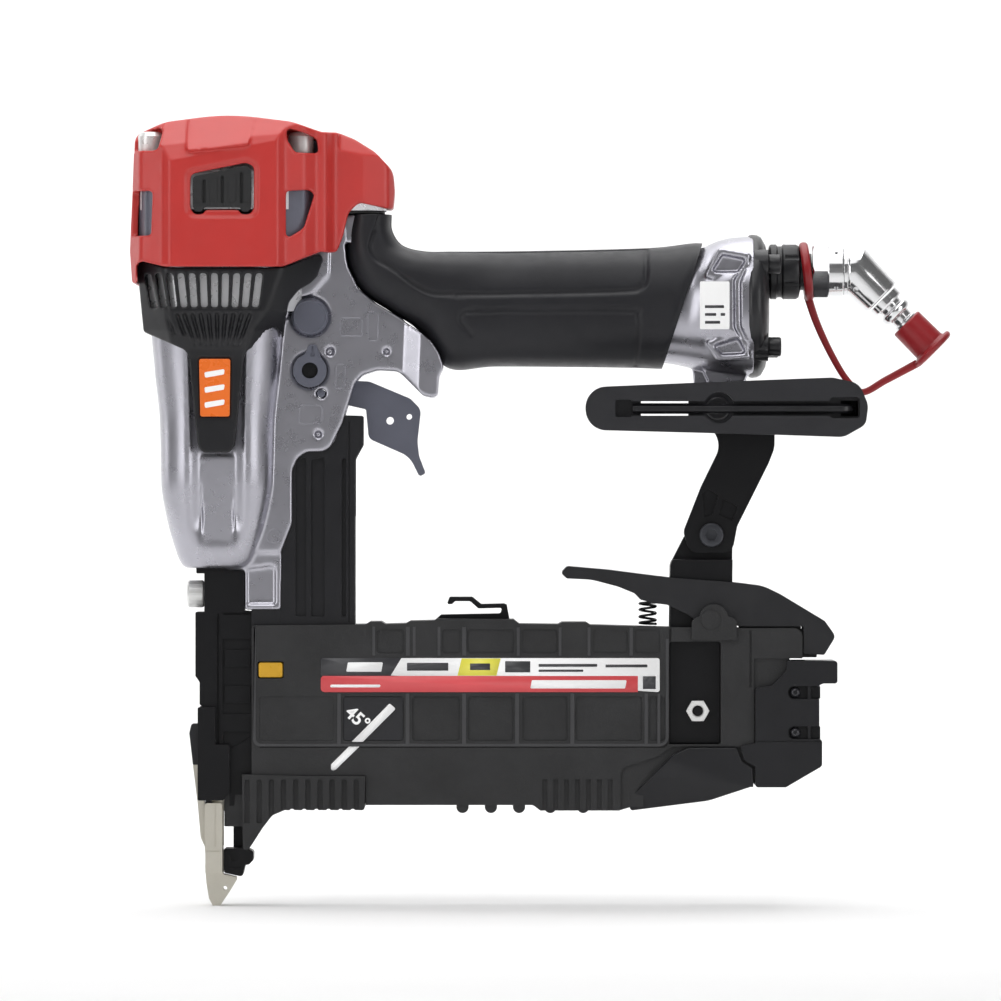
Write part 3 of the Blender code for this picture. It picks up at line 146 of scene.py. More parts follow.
def box(low, high):
    (x0, y0, z0), (x1, y1, z1) = low, high
    return prism([(x0, y0), (x1, y0), (x1, y1), (x0, y1)], z0, z1, "Z")


def side_plate(points, side, near, far, steps=6):
    """A side-view outline on one side of the tool, between two distances from its middle."""
    return plate(points, *sorted((side * near, side * far)), steps)


def side_box(side, near, far, x0, z0, x1, z1):
    low, high = sorted((side * near, side * far))
    return box((x0, low, z0), (x1, high, z1))


def rectangle(x0, z0, x1, z1, radius=0):
    return [(x0, z0, radius), (x1, z0, radius), (x1, z1, radius), (x0, z1, radius)]


def mirrored(near):
    """A plan outline given on the near side only, closed by its mirror image."""
    return near + [(x, -y, *radius) for x, y, *radius in reversed(near)]


def turned(profile, at, direction, sides=64, start=0):
    """A profile of (radius, height) pairs turned about direction, with height 0 at the point at."""
    direction = Vector(direction).normalized()
    turn = direction.to_track_quat("Z", "Y").to_matrix()
    bm = bmesh.new()
    rings = []
    for radius, height in profile:
        if radius < 1e-6:
            rings.append([bm.verts.new(Vector(at) + turn @ Vector((0, 0, height)))])
            continue
        angles = [start + math.tau * k / sides for k in range(sides)]
        rings.append([
            bm.verts.new(Vector(at) + turn @ Vector((radius * math.cos(a), radius * math.sin(a),
                height))) for a in angles
        ])
    closed = len(rings[0]) > 1 and len(rings[-1]) > 1
    pairs = list(zip(rings, rings[1:])) + ([(rings[-1], rings[0])] if closed else [])
    for lower, upper in pairs:
        for k in range(sides):
            n = (k + 1) % sides
            corners = [lower[k % len(lower)], lower[n % len(lower)], upper[n % len(upper)],
                upper[k % len(upper)]]
            bm.faces.new(list(dict.fromkeys(corners)))
    return new_object(bm)


def rod(radius, start, end, sides=40, turn=0):
    start, end = Vector(start), Vector(end)
    length = (end - start).length
    return turned([(0, 0), (radius, 0), (radius, length), (0, length)], start, end - start, sides, turn)


def cross_rod(radius, at, half, sides=32):
    """A rod across the tool at a side-view place, reaching half to each side."""
    return rod(radius, (at[0], -half, at[1]), (at[0], half, at[1]), sides)


def loft(rings, capped=True):
    """A body through rings of points with equal counts."""
    bm = bmesh.new()
    made = [[bm.verts.new(p) for p in ring] for ring in rings]
    for lower, upper in zip(made, made[1:]):
        for k in range(len(lower)):
            n = (k + 1) % len(lower)
            bm.faces.new([lower[k], lower[n], upper[n], upper[k]])
    if capped:
        bm.faces.new(made[0])
        bm.faces.new(made[-1])
    return new_object(bm)


def superellipse(half_a, half_b, power, sides):
    """Points of a rounded rectangle; power 1 is an ellipse, and smaller is squarer."""
    made = []
    for k in range(sides):
        angle = math.tau * (k + 0.5) / sides
        c, s = math.cos(angle), math.sin(angle)
        made.append((math.copysign(abs(c) ** power, c) * half_a, math.copysign(abs(s) ** power,
            s) * half_b))
    return made


def smooth_through(stations, steps):
    """Catmull-Rom through stations, each a flat tuple of numbers."""
    rows = [Vector(s) for s in stations]
    rows = [2 * rows[0] - rows[1], *rows, 2 * rows[-1] - rows[-2]]
    made = []
    for before, start, end, after in zip(rows, rows[1:], rows[2:], rows[3:]):
        for k in range(steps):
            t = k / steps
            made.append(
                0.5 * (2 * start + (end - before) * t + (2 * before - 5 * start + 4 * end - after) * t**2
                       + (3 * start - before - 3 * end + after) * t**3)
            )
    return [*made, rows[-2]]


def ease(value):
    t = max(0, min(1, value))
    return t * t * (3 - 2 * t)


def apply_modifiers(obj):
    bpy.context.view_layer.update()
    evaluated = obj.evaluated_get(bpy.context.evaluated_depsgraph_get())
    mesh = bpy.data.meshes.new_from_object(evaluated)
    obj.modifiers.clear()
    obj.data = mesh
    return obj


def copy_of(obj):
    twin = obj.copy()
    twin.data = obj.data.copy()
    bpy.context.scene.collection.objects.link(twin)
    return twin


def combine(target, operation, others):
    for other in others:
        modifier = target.modifiers.new(operation, "BOOLEAN")
        modifier.operation = operation
        modifier.solver = "EXACT"
        modifier.object = other
    apply_modifiers(target)
    for other in others:
        bpy.data.objects.remove(other, do_unlink=True)
    return target


def cut(target, *others):
    return combine(target, "DIFFERENCE", others)


def fuse(target, *others):
    return combine(target, "UNION", others)


def common(target, *others):
    return combine(target, "INTERSECT", others)


def merged(parts):
    return fuse(parts[0], *parts[1:])


def half_space(at, normal, region=None):
    """A large block on the normal's side of a plane, kept within a region of (low, high) corners."""
    normal = Vector(normal).normalized()
    block = turned([(0, 0), (200, 0), (200, 150), (0, 150)], at, normal, 4)
    return common(block, box(*region)) if region else block


def slice_off(obj, at, normal, region=None):
    return cut(obj, half_space(at, normal, region))


def slice_both(obj, at, normal, region=None):
    """The same cut on the near side and, mirrored, on the far side."""
    (x, y, z), (nx, ny, nz) = at, normal
    slice_off(obj, (x, y, z), (nx, ny, nz), region)
    return slice_off(obj, (x, -y, z), (nx, -ny, nz), region)


def moulded(obj, voxel=0.6, rounds=4, keep=0.5):
    """Softens every edge as a mould or a casting does: an even remesh, relaxed and thinned out."""
    remesh = obj.modifiers.new("even", "REMESH")
    remesh.mode = "VOXEL"
    remesh.voxel_size = voxel * MM
    relax = obj.modifiers.new("relax", "SMOOTH")
    relax.factor = 0.5
    relax.iterations = rounds
    if keep < 1:
        thin = obj.modifiers.new("thin", "DECIMATE")
        thin.ratio = keep
        settle = obj.modifiers.new("settle", "SMOOTH")
        settle.factor = 0.5
        settle.iterations = 2
    apply_modifiers(obj)
    obj.data.shade_smooth()
    return obj


def crisp(obj, width=0.35, segments=2, angle=32):
    """A small machined or moulded radius on every hard edge, with flat faces left flat."""
    weld = obj.modifiers.new("weld", "WELD")
    weld.merge_threshold = 2e-6
    bevel = obj.modifiers.new("edge", "BEVEL")
    bevel.width = width * MM
    bevel.segments = segments
    bevel.limit_method = "ANGLE"
    bevel.angle_limit = math.radians(angle)
    bevel.use_clamp_overlap = True
    bevel.harden_normals = True
    obj.data.shade_smooth()
    return obj


def piece(obj, name, material, body="tool_body", stands_for=()):
    """Names a finished piece, gives it its material, and ties it to its CAD body."""
    obj.name = name
    obj.data.name = name
    obj.data.materials.clear()
    obj.data.materials.append(material)
    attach(obj, body)
    if stands_for:
        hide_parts(*stands_for)
    return obj


# ---------------------------------------------------------------- materials


class Nodes:
    """A short way to wire shader nodes."""

    def __init__(self, name):
        self.material = bpy.data.materials.new(name)
        self.material.use_nodes = True
        self.tree = self.material.node_tree
        self.shader = self.tree.nodes["Principled BSDF"]
        self.coords = self.add("ShaderNodeTexCoord").outputs["Object"]

    def add(self, kind, **settings):
        node = self.tree.nodes.new(kind)
        for key, value in settings.items():
            setattr(node, key, value)
        return node

    def link(self, out, into):
        self.tree.links.new(out, into)

    def noise(self, scale, detail=4, roughness=0.6, stretch=None):
        coords = self.coords
        if stretch:
            mapping = self.add("ShaderNodeMapping")
            mapping.inputs["Scale"].default_value = stretch
            self.link(coords, mapping.inputs["Vector"])
            coords = mapping.outputs["Vector"]
        noise = self.add("ShaderNodeTexNoise")
        noise.inputs["Scale"].default_value = scale
        noise.inputs["Detail"].default_value = detail
        noise.inputs["Roughness"].default_value = roughness
        self.link(coords, noise.inputs["Vector"])
        return noise.outputs["Fac"]

    def spread(self, value, low, high):
        """Maps the middle of a noise to the range low to high."""
        ramp = self.add("ShaderNodeMapRange")
        ramp.inputs["From Min"].default_value = 0.3
        ramp.inputs["From Max"].default_value = 0.7
        ramp.inputs["To Min"].default_value = low
        ramp.inputs["To Max"].default_value = high
        self.link(value, ramp.inputs["Value"])
        return ramp.outputs["Result"]

    def tint(self, value, dark, light):
        mix = self.add("ShaderNodeMix", data_type="RGBA")
        mix.inputs["A"].default_value = (*dark, 1)
        mix.inputs["B"].default_value = (*light, 1)
        self.link(value, mix.inputs["Factor"])
        return mix.outputs["Result"]

    def bumps(self, *layers):
        """Each layer is (height, distance in mm, strength)."""
        normal = None
        for height, distance, strength in layers:
            bump = self.add("ShaderNodeBump")
            bump.inputs["Distance"].default_value = distance * MM
            bump.inputs["Strength"].default_value = strength
            self.link(height, bump.inputs["Height"])
            if normal:
                self.link(normal, bump.inputs["Normal"])
            normal = bump.outputs["Normal"]
        self.link(normal, self.shader.inputs["Normal"])


def surface(name, colour, roughness, metallic=0, grain=(1400, 0.05, 0.25), cloud=0.12,
            rough_spread=0.06, brushed=None, waves_mm=0, specular=0.5):
    """A solid finish: soft colour clouds, uneven roughness and a fine grain.

    The grain is a noise scale, a height in millimetres and a strength.
    """
    n = Nodes(name)
    shader = n.shader
    shader.inputs["Metallic"].default_value = metallic
    shader.inputs["Specular IOR Level"].default_value = specular
    cloudy = n.spread(n.noise(60, 5), 0, 1)
    dark = tuple(c * (1 - cloud) for c in colour)
    light = tuple(min(1, c * (1 + cloud)) for c in colour)
    n.link(n.tint(cloudy, dark, light), shader.inputs["Base Color"])
    uneven = n.noise(220, 3, stretch=brushed)
    n.link(n.spread(uneven, roughness - rough_spread, roughness + rough_spread), shader.inputs["Roughness"])
    scale, height_mm, strength = grain
    layers = [(n.noise(scale, 2, stretch=brushed), height_mm, strength)]
    if waves_mm:
        layers.append((n.noise(90, 2), waves_mm, 0.3))
    n.bumps(*layers)
    return n.material


RED = surface("red_moulded", (0.52, 0.035, 0.03), 0.36, grain=(2600, 0.02, 0.2), cloud=0.04,
    waves_mm=0.1)
CAST = surface("cast_paint", (0.44, 0.435, 0.48), 0.29, metallic=0.95,
    grain=(1500, 0.04, 0.07), cloud=0.05, rough_spread=0.03)
CAST_BRIGHT = surface("cast_machined", (0.72, 0.72, 0.74), 0.3, metallic=0.5,
    grain=(1500, 0.03, 0.07), cloud=0.05)
NYLON = surface("black_nylon", (0.021, 0.021, 0.022), 0.5, grain=(1100, 0.12, 0.4),
    cloud=0.2, specular=0.4)
NYLON_SMOOTH = surface("black_nylon_smooth", (0.011, 0.011, 0.013), 0.36,
    grain=(1800, 0.04, 0.25), cloud=0.12, specular=0.35)
NYLON_GREY = surface("charcoal_nylon", (0.019, 0.019, 0.022), 0.46,
    grain=(1300, 0.07, 0.3), cloud=0.1, specular=0.4)
OXIDE = surface("black_oxide", (0.014, 0.014, 0.016), 0.34, metallic=0,
    grain=(1200, 0.05, 0.25), cloud=0.15, specular=0.45)
# A near-black oxide for the black parts, also used as painted shade on the floors of the drawer's screw
# pockets and of the dial's hole.
OXIDE_DEEP_AND_SHADE = surface("black_oxide_deep_and_painted_shade", (0.005, 0.005, 0.006), 0.4, metallic=0,
    grain=(1200, 0.06, 0.3), specular=0.25)
BLUE_GREY = surface("blue_grey_coat", (0.125, 0.13, 0.165), 0.42, metallic=0.35,
    grain=(1700, 0.05, 0.3), cloud=0.06)
RUBBER = surface("grip_rubber", (0.015, 0.015, 0.018), 0.45, grain=(1900, 0.08, 0.35),
    cloud=0.12, specular=0.3)
RUBBER_SOFT = surface("seal_rubber", (0.014, 0.014, 0.015), 0.55, grain=(1500, 0.05, 0.3))
RED_RUBBER = surface("red_rubber", (0.26, 0.008, 0.012), 0.38, grain=(1200, 0.05, 0.25),
    cloud=0.12)
CHROME = surface("chrome_plate", (0.78, 0.78, 0.79), 0.14, metallic=1, grain=(700, 0.01, 0.1),
    cloud=0.02, rough_spread=0.03)
BRIGHT = surface("zinc_bright", (0.66, 0.65, 0.64), 0.28, metallic=1, grain=(1300, 0.03, 0.25),
    cloud=0.05)
ZINC = surface("zinc_plate", (0.82, 0.82, 0.81), 0.32, metallic=0.35, grain=(1300, 0.03, 0.2),
    cloud=0.04)
TOOL_STEEL = surface("ground_steel", (0.66, 0.63, 0.55), 0.34, metallic=0.85,
    grain=(900, 0.04, 0.3), brushed=(1, 1, 0.08), cloud=0.06)
MACHINED = surface("machined_aluminium", (0.6, 0.61, 0.62), 0.3, metallic=1,
    grain=(900, 0.03, 0.3), cloud=0.04)
ORANGE = surface("orange_enamel", (0.86, 0.17, 0.018), 0.3, grain=(1600, 0.01, 0.15),
    cloud=0.03)
AMBER = surface("amber_window", (0.62, 0.34, 0.02), 0.3, grain=(900, 0.03, 0.2))
STAY_STEEL = surface("stay_bolt_steel", (0.045, 0.047, 0.055), 0.34, metallic=0.4,
    grain=(1700, 0.04, 0.25))
SCREW_DARK = surface("drawer_screw_steel", (0.03, 0.03, 0.035), 0.16, metallic=0.3,
    grain=(1700, 0.02, 0.25))
# The rims' lighter nylon is a painted highlight: the raised ribs are the magazine's own nylon, painted
# lighter where they catch light.
RIM_HIGHLIGHT = surface("nylon_rim_painted_highlight", (0.045, 0.045, 0.048), 0.4, grain=(1300, 0.06, 0.3), cloud=0.1)
YELLOW = surface("yellow_indicator", (0.68, 0.42, 0.02), 0.42, grain=(1200, 0.05, 0.3))
PRINT_WHITE = surface("print_white", (1, 1, 1), 0.5, grain=(1600, 0.01, 0.1), cloud=0.02)
PRINT_RED = surface("print_red", (0.74, 0.09, 0.1), 0.38, grain=(1600, 0.01, 0.1),
    cloud=0.03)
PRINT_YELLOW = surface("print_yellow", (0.86, 0.8, 0.1), 0.38, grain=(1600, 0.01, 0.1),
    cloud=0.03)
PRINT_DARK = surface("print_dark", (0.05, 0.05, 0.055), 0.38, grain=(1600, 0.01, 0.1),
    cloud=0.05)


# ---------------------------------------------------------------- stage, light and camera


def make_stage():
    """A pale floor that sweeps up behind the tool, soft lights, and the level side view."""
    profile = fillet([(-2.4, 0), (1.1, 0, 0.5), (1.1, 3.4)], 16)
    bm = bmesh.new()
    rows = [[bm.verts.new((x, y, z)) for y, z in profile] for x in (-3.2, 3.2)]
    for k in range(len(profile) - 1):
        bm.faces.new([rows[0][k], rows[1][k], rows[1][k + 1], rows[0][k + 1]])
    mesh = bpy.data.meshes.new("floor")
    bm.to_mesh(mesh)
    bm.free()
    mesh.shade_smooth()
    floor = bpy.data.objects.new("floor", mesh)
    bpy.context.scene.collection.objects.link(floor)
    n = Nodes("floor_paper")
    n.link(n.tint(n.spread(n.noise(3), 0, 1), (0.88, 0.88, 0.88), (0.91, 0.91, 0.91)),
        n.shader.inputs["Base Color"])
    n.shader.inputs["Roughness"].default_value = 0.9
    clear = n.add("ShaderNodeBsdfTransparent")
    behind = n.add("ShaderNodeNewGeometry")
    either = n.add("ShaderNodeMixShader")
    n.link(behind.outputs["Backfacing"], either.inputs["Fac"])
    n.link(n.shader.outputs["BSDF"], either.inputs[1])
    n.link(clear.outputs["BSDF"], either.inputs[2])
    n.link(either.outputs["Shader"], n.tree.nodes["Material Output"].inputs["Surface"])
    mesh.materials.append(n.material)

    world = bpy.data.worlds.new("studio")
    world.use_nodes = True
    background = world.node_tree.nodes["Background"]
    background.inputs["Color"].default_value = (1, 1, 1, 1)
    background.inputs["Strength"].default_value = 0.15
    bpy.context.scene.world = world
    bpy.context.scene.view_settings.view_transform = "Standard"

    lights = (
        ("left", (-1.75, -1.55, 0.4), 1.1, 1.7, 14.5),
        ("right", (1.95, -1.55, 0.4), 1.1, 1.7, 14.5),
        ("front", (0.1, -3.7, 0.35), 2.4, 2, 0.9),
        ("key", (-0.3, -1.4, 1.45), 0.9, 0.7, 3.9),
        ("top", (0.1, -0.15, 1.2), 0.8, 0.6, 1.4),
        ("rim", (-0.8, 0.45, 0.5), 0.35, 0.8, 1.2),
        ("sweep", (0.1, 0.45, 1.6), 1.6, 1.6, 22),
        ("ground", (0.1, -1.35, 1.9), 2, 1.6, 12),
    )
    target = Vector((0.1, 0, 0.15))
    for name, place, wide, tall, power in lights:
        light = bpy.data.lights.new(name, "AREA")
        light.shape = "RECTANGLE"
        light.size = wide
        light.size_y = tall
        light.energy = power
        lamp = bpy.data.objects.new(name, light)
        lamp.location = place
        aim = {"sweep": Vector((0.1, 1.1, 0.4)), "ground": Vector((0.1, -1.35, 0))}.get(name, target)
        lamp.rotation_euler = (aim - Vector(place)).to_track_quat("-Z", "Y").to_euler()
        bpy.context.scene.collection.objects.link(lamp)

    camera = bpy.data.cameras.new("camera")
    camera.sensor_width = 36
    distance, width = 3.2, 0.36036
    camera.lens = camera.sensor_width * distance / width
    eye = bpy.data.objects.new("camera", camera)
    eye.location = (point(101.34, 0, 0).x, -distance, 0.1456)
    eye.rotation_euler = (math.radians(90), 0, 0)
    bpy.context.scene.collection.objects.link(eye)
    bpy.context.scene.camera = eye


make_stage()


# ---------------------------------------------------------------- red cover


def hood_plan(inset):
    """Plan of the cover: a rounded front, a proud middle panel on each side, and a narrow rear."""
    near = [
        (-31.5 + inset, -15, 5), (-27.5 + inset * 0.7, -26.6 + inset, 4), (-19.4, -29.4 + inset, 1.5),
        (-16.8, -32 + inset, 1.5), (21.8, -32 + inset, 1.5), (24.4, -29.4 + inset, 1.5),
        (31.5, -27.2 + inset, 3), (35.4 - inset * 0.5, -23.6 + inset, 2),
        (39 - inset * 0.5, -22.6 + inset, 1.5), (41.6 - inset, -17.6 + inset * 0.8, 3),
        (52, -15 + inset * 0.8, 8), (61 - inset, -12 + inset * 0.8, 3), (63.5 - inset, -7, 4),
    ]
    return fillet(mirrored(near))


def hood_side(inset, bottom):
    roof = [
        (63.4 - inset, 256.7, 3), (62.8 - inset, 263.8 - inset, 6), (56.4 - inset, 270.6 - inset, 14),
        (49, 275.2 - inset, 14), (43.2, 277.5 - inset, 5), (37.4, 277.4 - inset), (26.3, 281 - inset, 14),
        (4, 284 - inset, 80), (-19, 281 - inset, 24), (-29.6 + inset, 276.6 - inset, 4),
    ]
    return fillet(roof + bottom)


def make_cover():
    lower_edge = [
        (-30.2, 262, 8), (-31.5, 235, 8), (-30.6, 223.6, 1), (-28.3, 222.6, 1), (-28.9, 231.6, 2),
        (-18.4, 229, 3), (23.6, 229, 3), (34.2, 233.4, 1), (37, 234.6, 1), (39.6, 234.2, 1),
        (42.8, 234.7, 1.5), (44.9, 240.2, 4), (46.9, 248.6, 4), (50.6, 252.4, 3), (62.8, 249.8, 1),
    ]
    cover = prism(hood_plan(0), 215, 290, "Z")
    common(cover, prism(hood_side(0, lower_edge), -40, 40, "Y"))
    # The shoulder leans in along a ridge that climbs to the rear.
    slice_both(cover, (0, -31.6, 272.6), (-0.1, -0.72, 0.72))
    slice_both(cover, (0, -31.9, 270.2), (-0.08, -0.93, 0.42))
    slice_both(cover, (-30, -18, 273), (-0.62, -0.45, 0.75))
    rear = ((43.4, -50, 200), (90, 50, 300))
    slice_both(cover, (44, -16.8, 271.2), (0.3, -0.8, 0.52), rear)
    for side in (-1, 1):
        raised = side_plate([(-10.6, 270, 1), (11.6, 272, 1), (14.6, 290), (-9.8, 290)], side, 33.6, 16)
        slice_off(raised, (0, side * 31.75, 273.2), (-0.1, side * 0.72, 0.72))
        common(raised, prism(hood_side(0.1, [(-29.6, 215), (63.4, 215)]), -40, 40, "Y"))
        fuse(cover, raised)

    hollow = prism(hood_plan(2.6), 205, 290, "Z")
    inner_edge = [(-28.9, 240), (-28.9, 205), (60.2, 205)]
    common(hollow, prism(hood_side(3.4, inner_edge), -40, 40, "Y"))
    slice_both(hollow, (0, -28.4, 271), (-0.1, -0.72, 0.72))
    cut(cover, hollow)

    windows = (
        [(-40, 270.5), (-21, 270.5, 2), (-19.2, 278.6, 1), (-24.4, 278.4, 3), (-40, 273)],
        [(24.9, 278.6, 1), (25.2, 274.4, 2), (28, 269.9, 1.5), (36.2, 269.7, 1), (35.7, 274.8, 2),
            (31, 277, 2)],
        [(-40, 256.1), (-22.8, 256.1, 1), (-23.4, 240.2, 1), (-29.2, 240.2, 1), (-40, 240.2)],
        [(24.8, 256, 1), (33.2, 256.5, 1.2), (34.7, 254.8, 1.2), (31.2, 243.2, 1.5), (29.8, 242, 1.5),
            (24.8, 238.9, 1)],
    )
    for points in windows:
        cut(cover, plate(points, -45, -17), plate(points, 17, 45))
    centre = [
        (-9.1, 262, 2), (10.8, 266, 2), (13.4, 264.6, 2), (13.3, 249.4, 2), (11.8, 247.7, 1.5),
        (9, 247.7, 1), (7.8, 249.3, 0.8), (-3.6, 249.3, 0.8), (-5, 247.7, 1), (-7.8, 247.7, 1.5),
        (-9.2, 249.6, 2),
    ]
    well = [(-11.2, 263.4, 3), (11, 267.9, 3), (15.2, 265.6, 3), (15, 246.4, 3), (-11, 246.4, 3)]
    for side in (-1, 1):
        cut(cover, side_plate(centre, side, 45, 20))
        cut(cover, side_plate(well, side, 45, 31.2))
    moulded(cover, 0.5, 5, 0.4)
    piece(cover, "cover_shell", RED, stands_for=("top_cover",))


def make_louver():
    louver = plate(
        [(-8.4, 261.2, 1.6), (10.7, 265, 1.6), (12.5, 263.9, 1.6), (12.4, 249.9, 1.6), (11.3, 248.6, 1.2),
            (9.5, 248.6, 0.8), (8.2, 250.2, 0.8),
            (-4, 250.2, 0.8), (-5.5, 248.6, 0.8), (-7.3, 248.6, 1.2), (-8.4, 250.2, 1.6)],
        -31.2, -28,
    )
    for x in (-4.3, 2.2, 9):
        top = 260.9 + x * 0.2
        groove = [(x - 0.6, 251.6, 0.5), (x + 0.6, 251.6, 0.5), (x + 0.6, top + 0.1, 0.5),
            (x - 0.6, top - 0.1, 0.5)]
        cut(louver, plate(groove, -32, -30.2))
    for x in (-6.6, -1, 5.6, 11):
        top = 260.4 + x * 0.2
        slat = [(x - 1.3, 252.2, 0.5), (x + 1.3, 252.2, 0.5), (x + 1.3, top + 0.2, 0.5),
            (x - 1.3, top - 0.2, 0.5)]
        fuse(louver, plate(slat, -31.5, -30.8))
    twin = copy_of(louver)
    twin.data.transform(Matrix.Scale(-1, 4, Y_AXIS))
    twin.data.flip_normals()
    fuse(louver, twin)
    piece(crisp(louver, 0.4), "louver_insert", RUBBER_SOFT, stands_for=("exhaust_louver",))


def make_head():
    """The metal seen through the cover's windows, and the four screws of the head."""
    skirt = prism(hood_plan(3.1), 239, 257.6, "Z")
    cut(skirt, prism(hood_plan(4.6), 230, 270, "Z"), box((36.5, -40, 230), (80, 40, 260)))
    cut(skirt, box((-12, -40, 230), (16, 40, 260)))
    fuse(skirt, plate([(31, 250), (36.6, 250), (37.4, 274, 1), (31, 275.6, 1)], -12, 12))
    piece(crisp(skirt, 0.4), "head_corners", BLUE_GREY)
    profile = [(0, 268.4), (4.4, 268.4), (4.6, 268.8), (4.6, 276), (3.8, 277.2), (2.6, 277.6), (0, 277.6)]
    for i, (x, y) in enumerate(((-23.9, -16.2), (29.9, -16.6), (29.9, 16.6), (-23.9, 16.2)), 1):
        head = turned(profile, (x, y, 0), Z_AXIS)
        cut(head, rod(2.4, (x, y, 273), (x, y, 279), 6))
        shank_x = x + (0.4 if x < 0 else 0.7)
        shank = rod(2.3, (shank_x, y * 0.95, 243), (shank_x, y * 0.95, 269), 24)
        piece(crisp(fuse(head, shank), 0.2), f"head_bolt_{i}", ZINC, stands_for=(f"cap_bolt_{i}",))


make_cover()
make_louver()
make_head()


# ---------------------------------------------------------------- casting, grille and badge


def collar_rings(inset=0, low=161, high=234.6):
    """Sections of the black collar between two heights, drawn inwards by inset."""
    levels = (
        (161, 24.4, -23, 23), (196, 25.6, -24.6, 23.6), (199.6, 26, -25.6, 24), (206.4, 28.2, -27.2, 26),
        (213.4, 28.95, -28, 31.6), (234.6, 29.2, -29.4, 39),
    )
    heights = [low, *[row[0] for row in levels if low < row[0] < high], high]
    rings = []
    for z in heights:
        below = max((row for row in levels if row[0] <= z), default=levels[0])
        above = min((row for row in levels if row[0] >= z), default=levels[-1])
        share = (z - below[0]) / max(above[0] - below[0], 1e-9)
        half, front, back = (a + (b - a) * share for a, b in zip(below[1:], above[1:]))
        half, front, back = half - inset, front + inset, back - inset
        near = [(front, -half * 0.5, 4), (front + 10.4, -half, 4), (back - 13.6, -half, 4),
            (back, -half * 0.46, 4)]
        rings.append([(x, y, z) for x, y in fillet(mirrored(near), 5)])
    return rings


def jacket_rings(grow=0, valley=0, sides=128):
    """Sections of the cylinder's jacket: rounded squares, with a valley down the middle of each side."""
    stations = (
        (121.4, 11.6, 13), (122.6, 13.2, 14.6), (126, 14.9, 16.4), (136.2, 18, 19.4), (148, 20.3, 21.2),
        (156, 20.8, 22), (174.6, 21.2, 22.8), (190, 22.8, 23.6), (203, 24, 24.6), (215, 25.2, 25.6),
        (232, 26, 26.4), (242, 26, 26.4),
    )
    rings = []
    for z, wide, deep in smooth_through(stations, 6):
        dip = valley * ease((z - 126) / 15) * ease((206 - z) / 10)
        ring = []
        for x, y in superellipse(wide + grow, deep + grow, 0.66, sides):
            sink = dip * ease((11.5 - abs(x)) / 6.6) * ease(abs(y) / 6)
            ring.append((x, y - math.copysign(sink, y), z))
        rings.append(ring)
    return rings


def make_casting():
    casting = loft(jacket_rings(valley=4.2))
    housing = plate(
        [
            (0, 127.4), (22.6, 127.2, 1), (26.6, 137.4, 5), (26.6, 156.6, 5), (28.4, 160.6, 4),
            (31.6, 163, 4), (39.6, 163.2, 5), (44.6, 173.4, 8), (49, 187.6, 4), (51.6, 190.6, 3),
            (57.2, 192.4, 4), (64.7, 192, 4), (66.8, 190), (66.8, 210.4), (56.6, 216.4, 5),
            (50.6, 221.4, 8), (46.6, 229.6, 8), (45.9, 234, 6), (45.3, 244), (0, 244),
        ],
        -HOUSING_HALF, HOUSING_HALF, 8,
    )
    guard = plate(
        [(62, 196), (66, 190.8, 1), (73.4, 183.4, 1.5), (77, 182.4, 2), (78.8, 183.4, 1), (79.4, 190.4, 1),
            (81, 193.4), (79.4, 198.2), (76.8, 202.4), (71.3, 207), (62, 213)],
        -15.6, 15.6, 6,
    )
    slice_both(guard, (66.6, -12.2, 195), (-0.5, -0.86, 0.02))
    slice_both(guard, (79, -17, 186), (0.25, -0.95, -0.2))
    cut(guard, plate([(58, 205), (58, 180), (77, 179), (75.6, 186, 3), (66, 196, 6)], -9, 9))
    flange_near = [(-28.3, -16, 4), (-17, -28.8, 5), (22, -28.8, 5), (35.6, -15, 3), (44.6, -11.5),
        (57, -11.5)]
    flange = prism(fillet(mirrored(flange_near)), 238, 248.2, "Z")
    rim = plate([(20, 206), (36, 222.4, 2), (39.6, 226.6, 2), (39.9, 236), (20, 236)], -HOUSING_HALF - 0.9,
        HOUSING_HALF + 0.9)
    foot = plate(
        [(9.6, 106.4, 0.8), (22.6, 106.4, 0.8), (22.8, 127.9, 0.6), (0, 130), (1.8, 124.4, 1), (3.6, 120.7),
            (9.6, 120.7)],
        -11.3, 11.3,
    )
    fuse(casting, housing, guard, flange, rim, foot)
    pocket = [(10.2, 108.2, 0.6), (20.8, 108.2, 0.6), (20.8, 122.6, 2), (10.2, 121.2, 0.6)]
    ledge = [(-5.6, 161.4, 1), (-5, 128.6, 1), (5.2, 128.6, 1), (5.8, 161.4, 1)]
    for side in (-1, 1):
        pad = side_plate(ledge, side, 8, 30)
        slice_off(pad, (0, side * 17.5, 143), (0, side * 1, -0.05))
        fuse(casting, pad)
        cut(casting, side_plate(pocket, side, 10.2, 20))
    outside = -HOUSING_HALF - 3
    details = [
        rod(7.5, (PLUG[0], outside, PLUG[1]), (PLUG[0], -HOUSING_HALF + 0.7, PLUG[1])),
        rod(6.9, (DIAL[0], outside, DIAL[1]), (DIAL[0], -HOUSING_HALF + 0.5, DIAL[1])),
        plate([(28, 173), (28, 191.4, 2), (66, 191.4), (66, 150), (36, 150)], -6.8, 6.8),
        cross_rod(1.8, TRIGGER_PIN, 20, 24),
        rod(5.2, (VALVE_X, 0, 186), (VALVE_X, 0, 219), 32),
        box((3.6, 6.3, 98), (39, 8.8, 118.2)),
        box((30.5, 6.3, 98), (39, 8.8, 162)),
    ]
    for x, z, radius in ((40.2, 199, 1.5), (37.4, 183.9, 1.3), (36, 169.3, 1.3), (60.5, 199, 1.2)):
        details.append(rod(radius, (x, outside, z), (x, -HOUSING_HALF + 1.8, z), 24))
    cut(casting, *details)
    moulded(casting, 0.55, 3, 0.5)
    piece(casting, "casting_body", CAST, stands_for=("body_casting",))

    gasket = plate([(-7.9, 119.4, 0.5), (9.2, 119.4), (9.2, 121.2), (3.2, 122.6), (-7.9, 122.2, 0.5)], -9,
        9)
    piece(crisp(gasket, 0.3), "nose_gasket", OXIDE_DEEP_AND_SHADE)


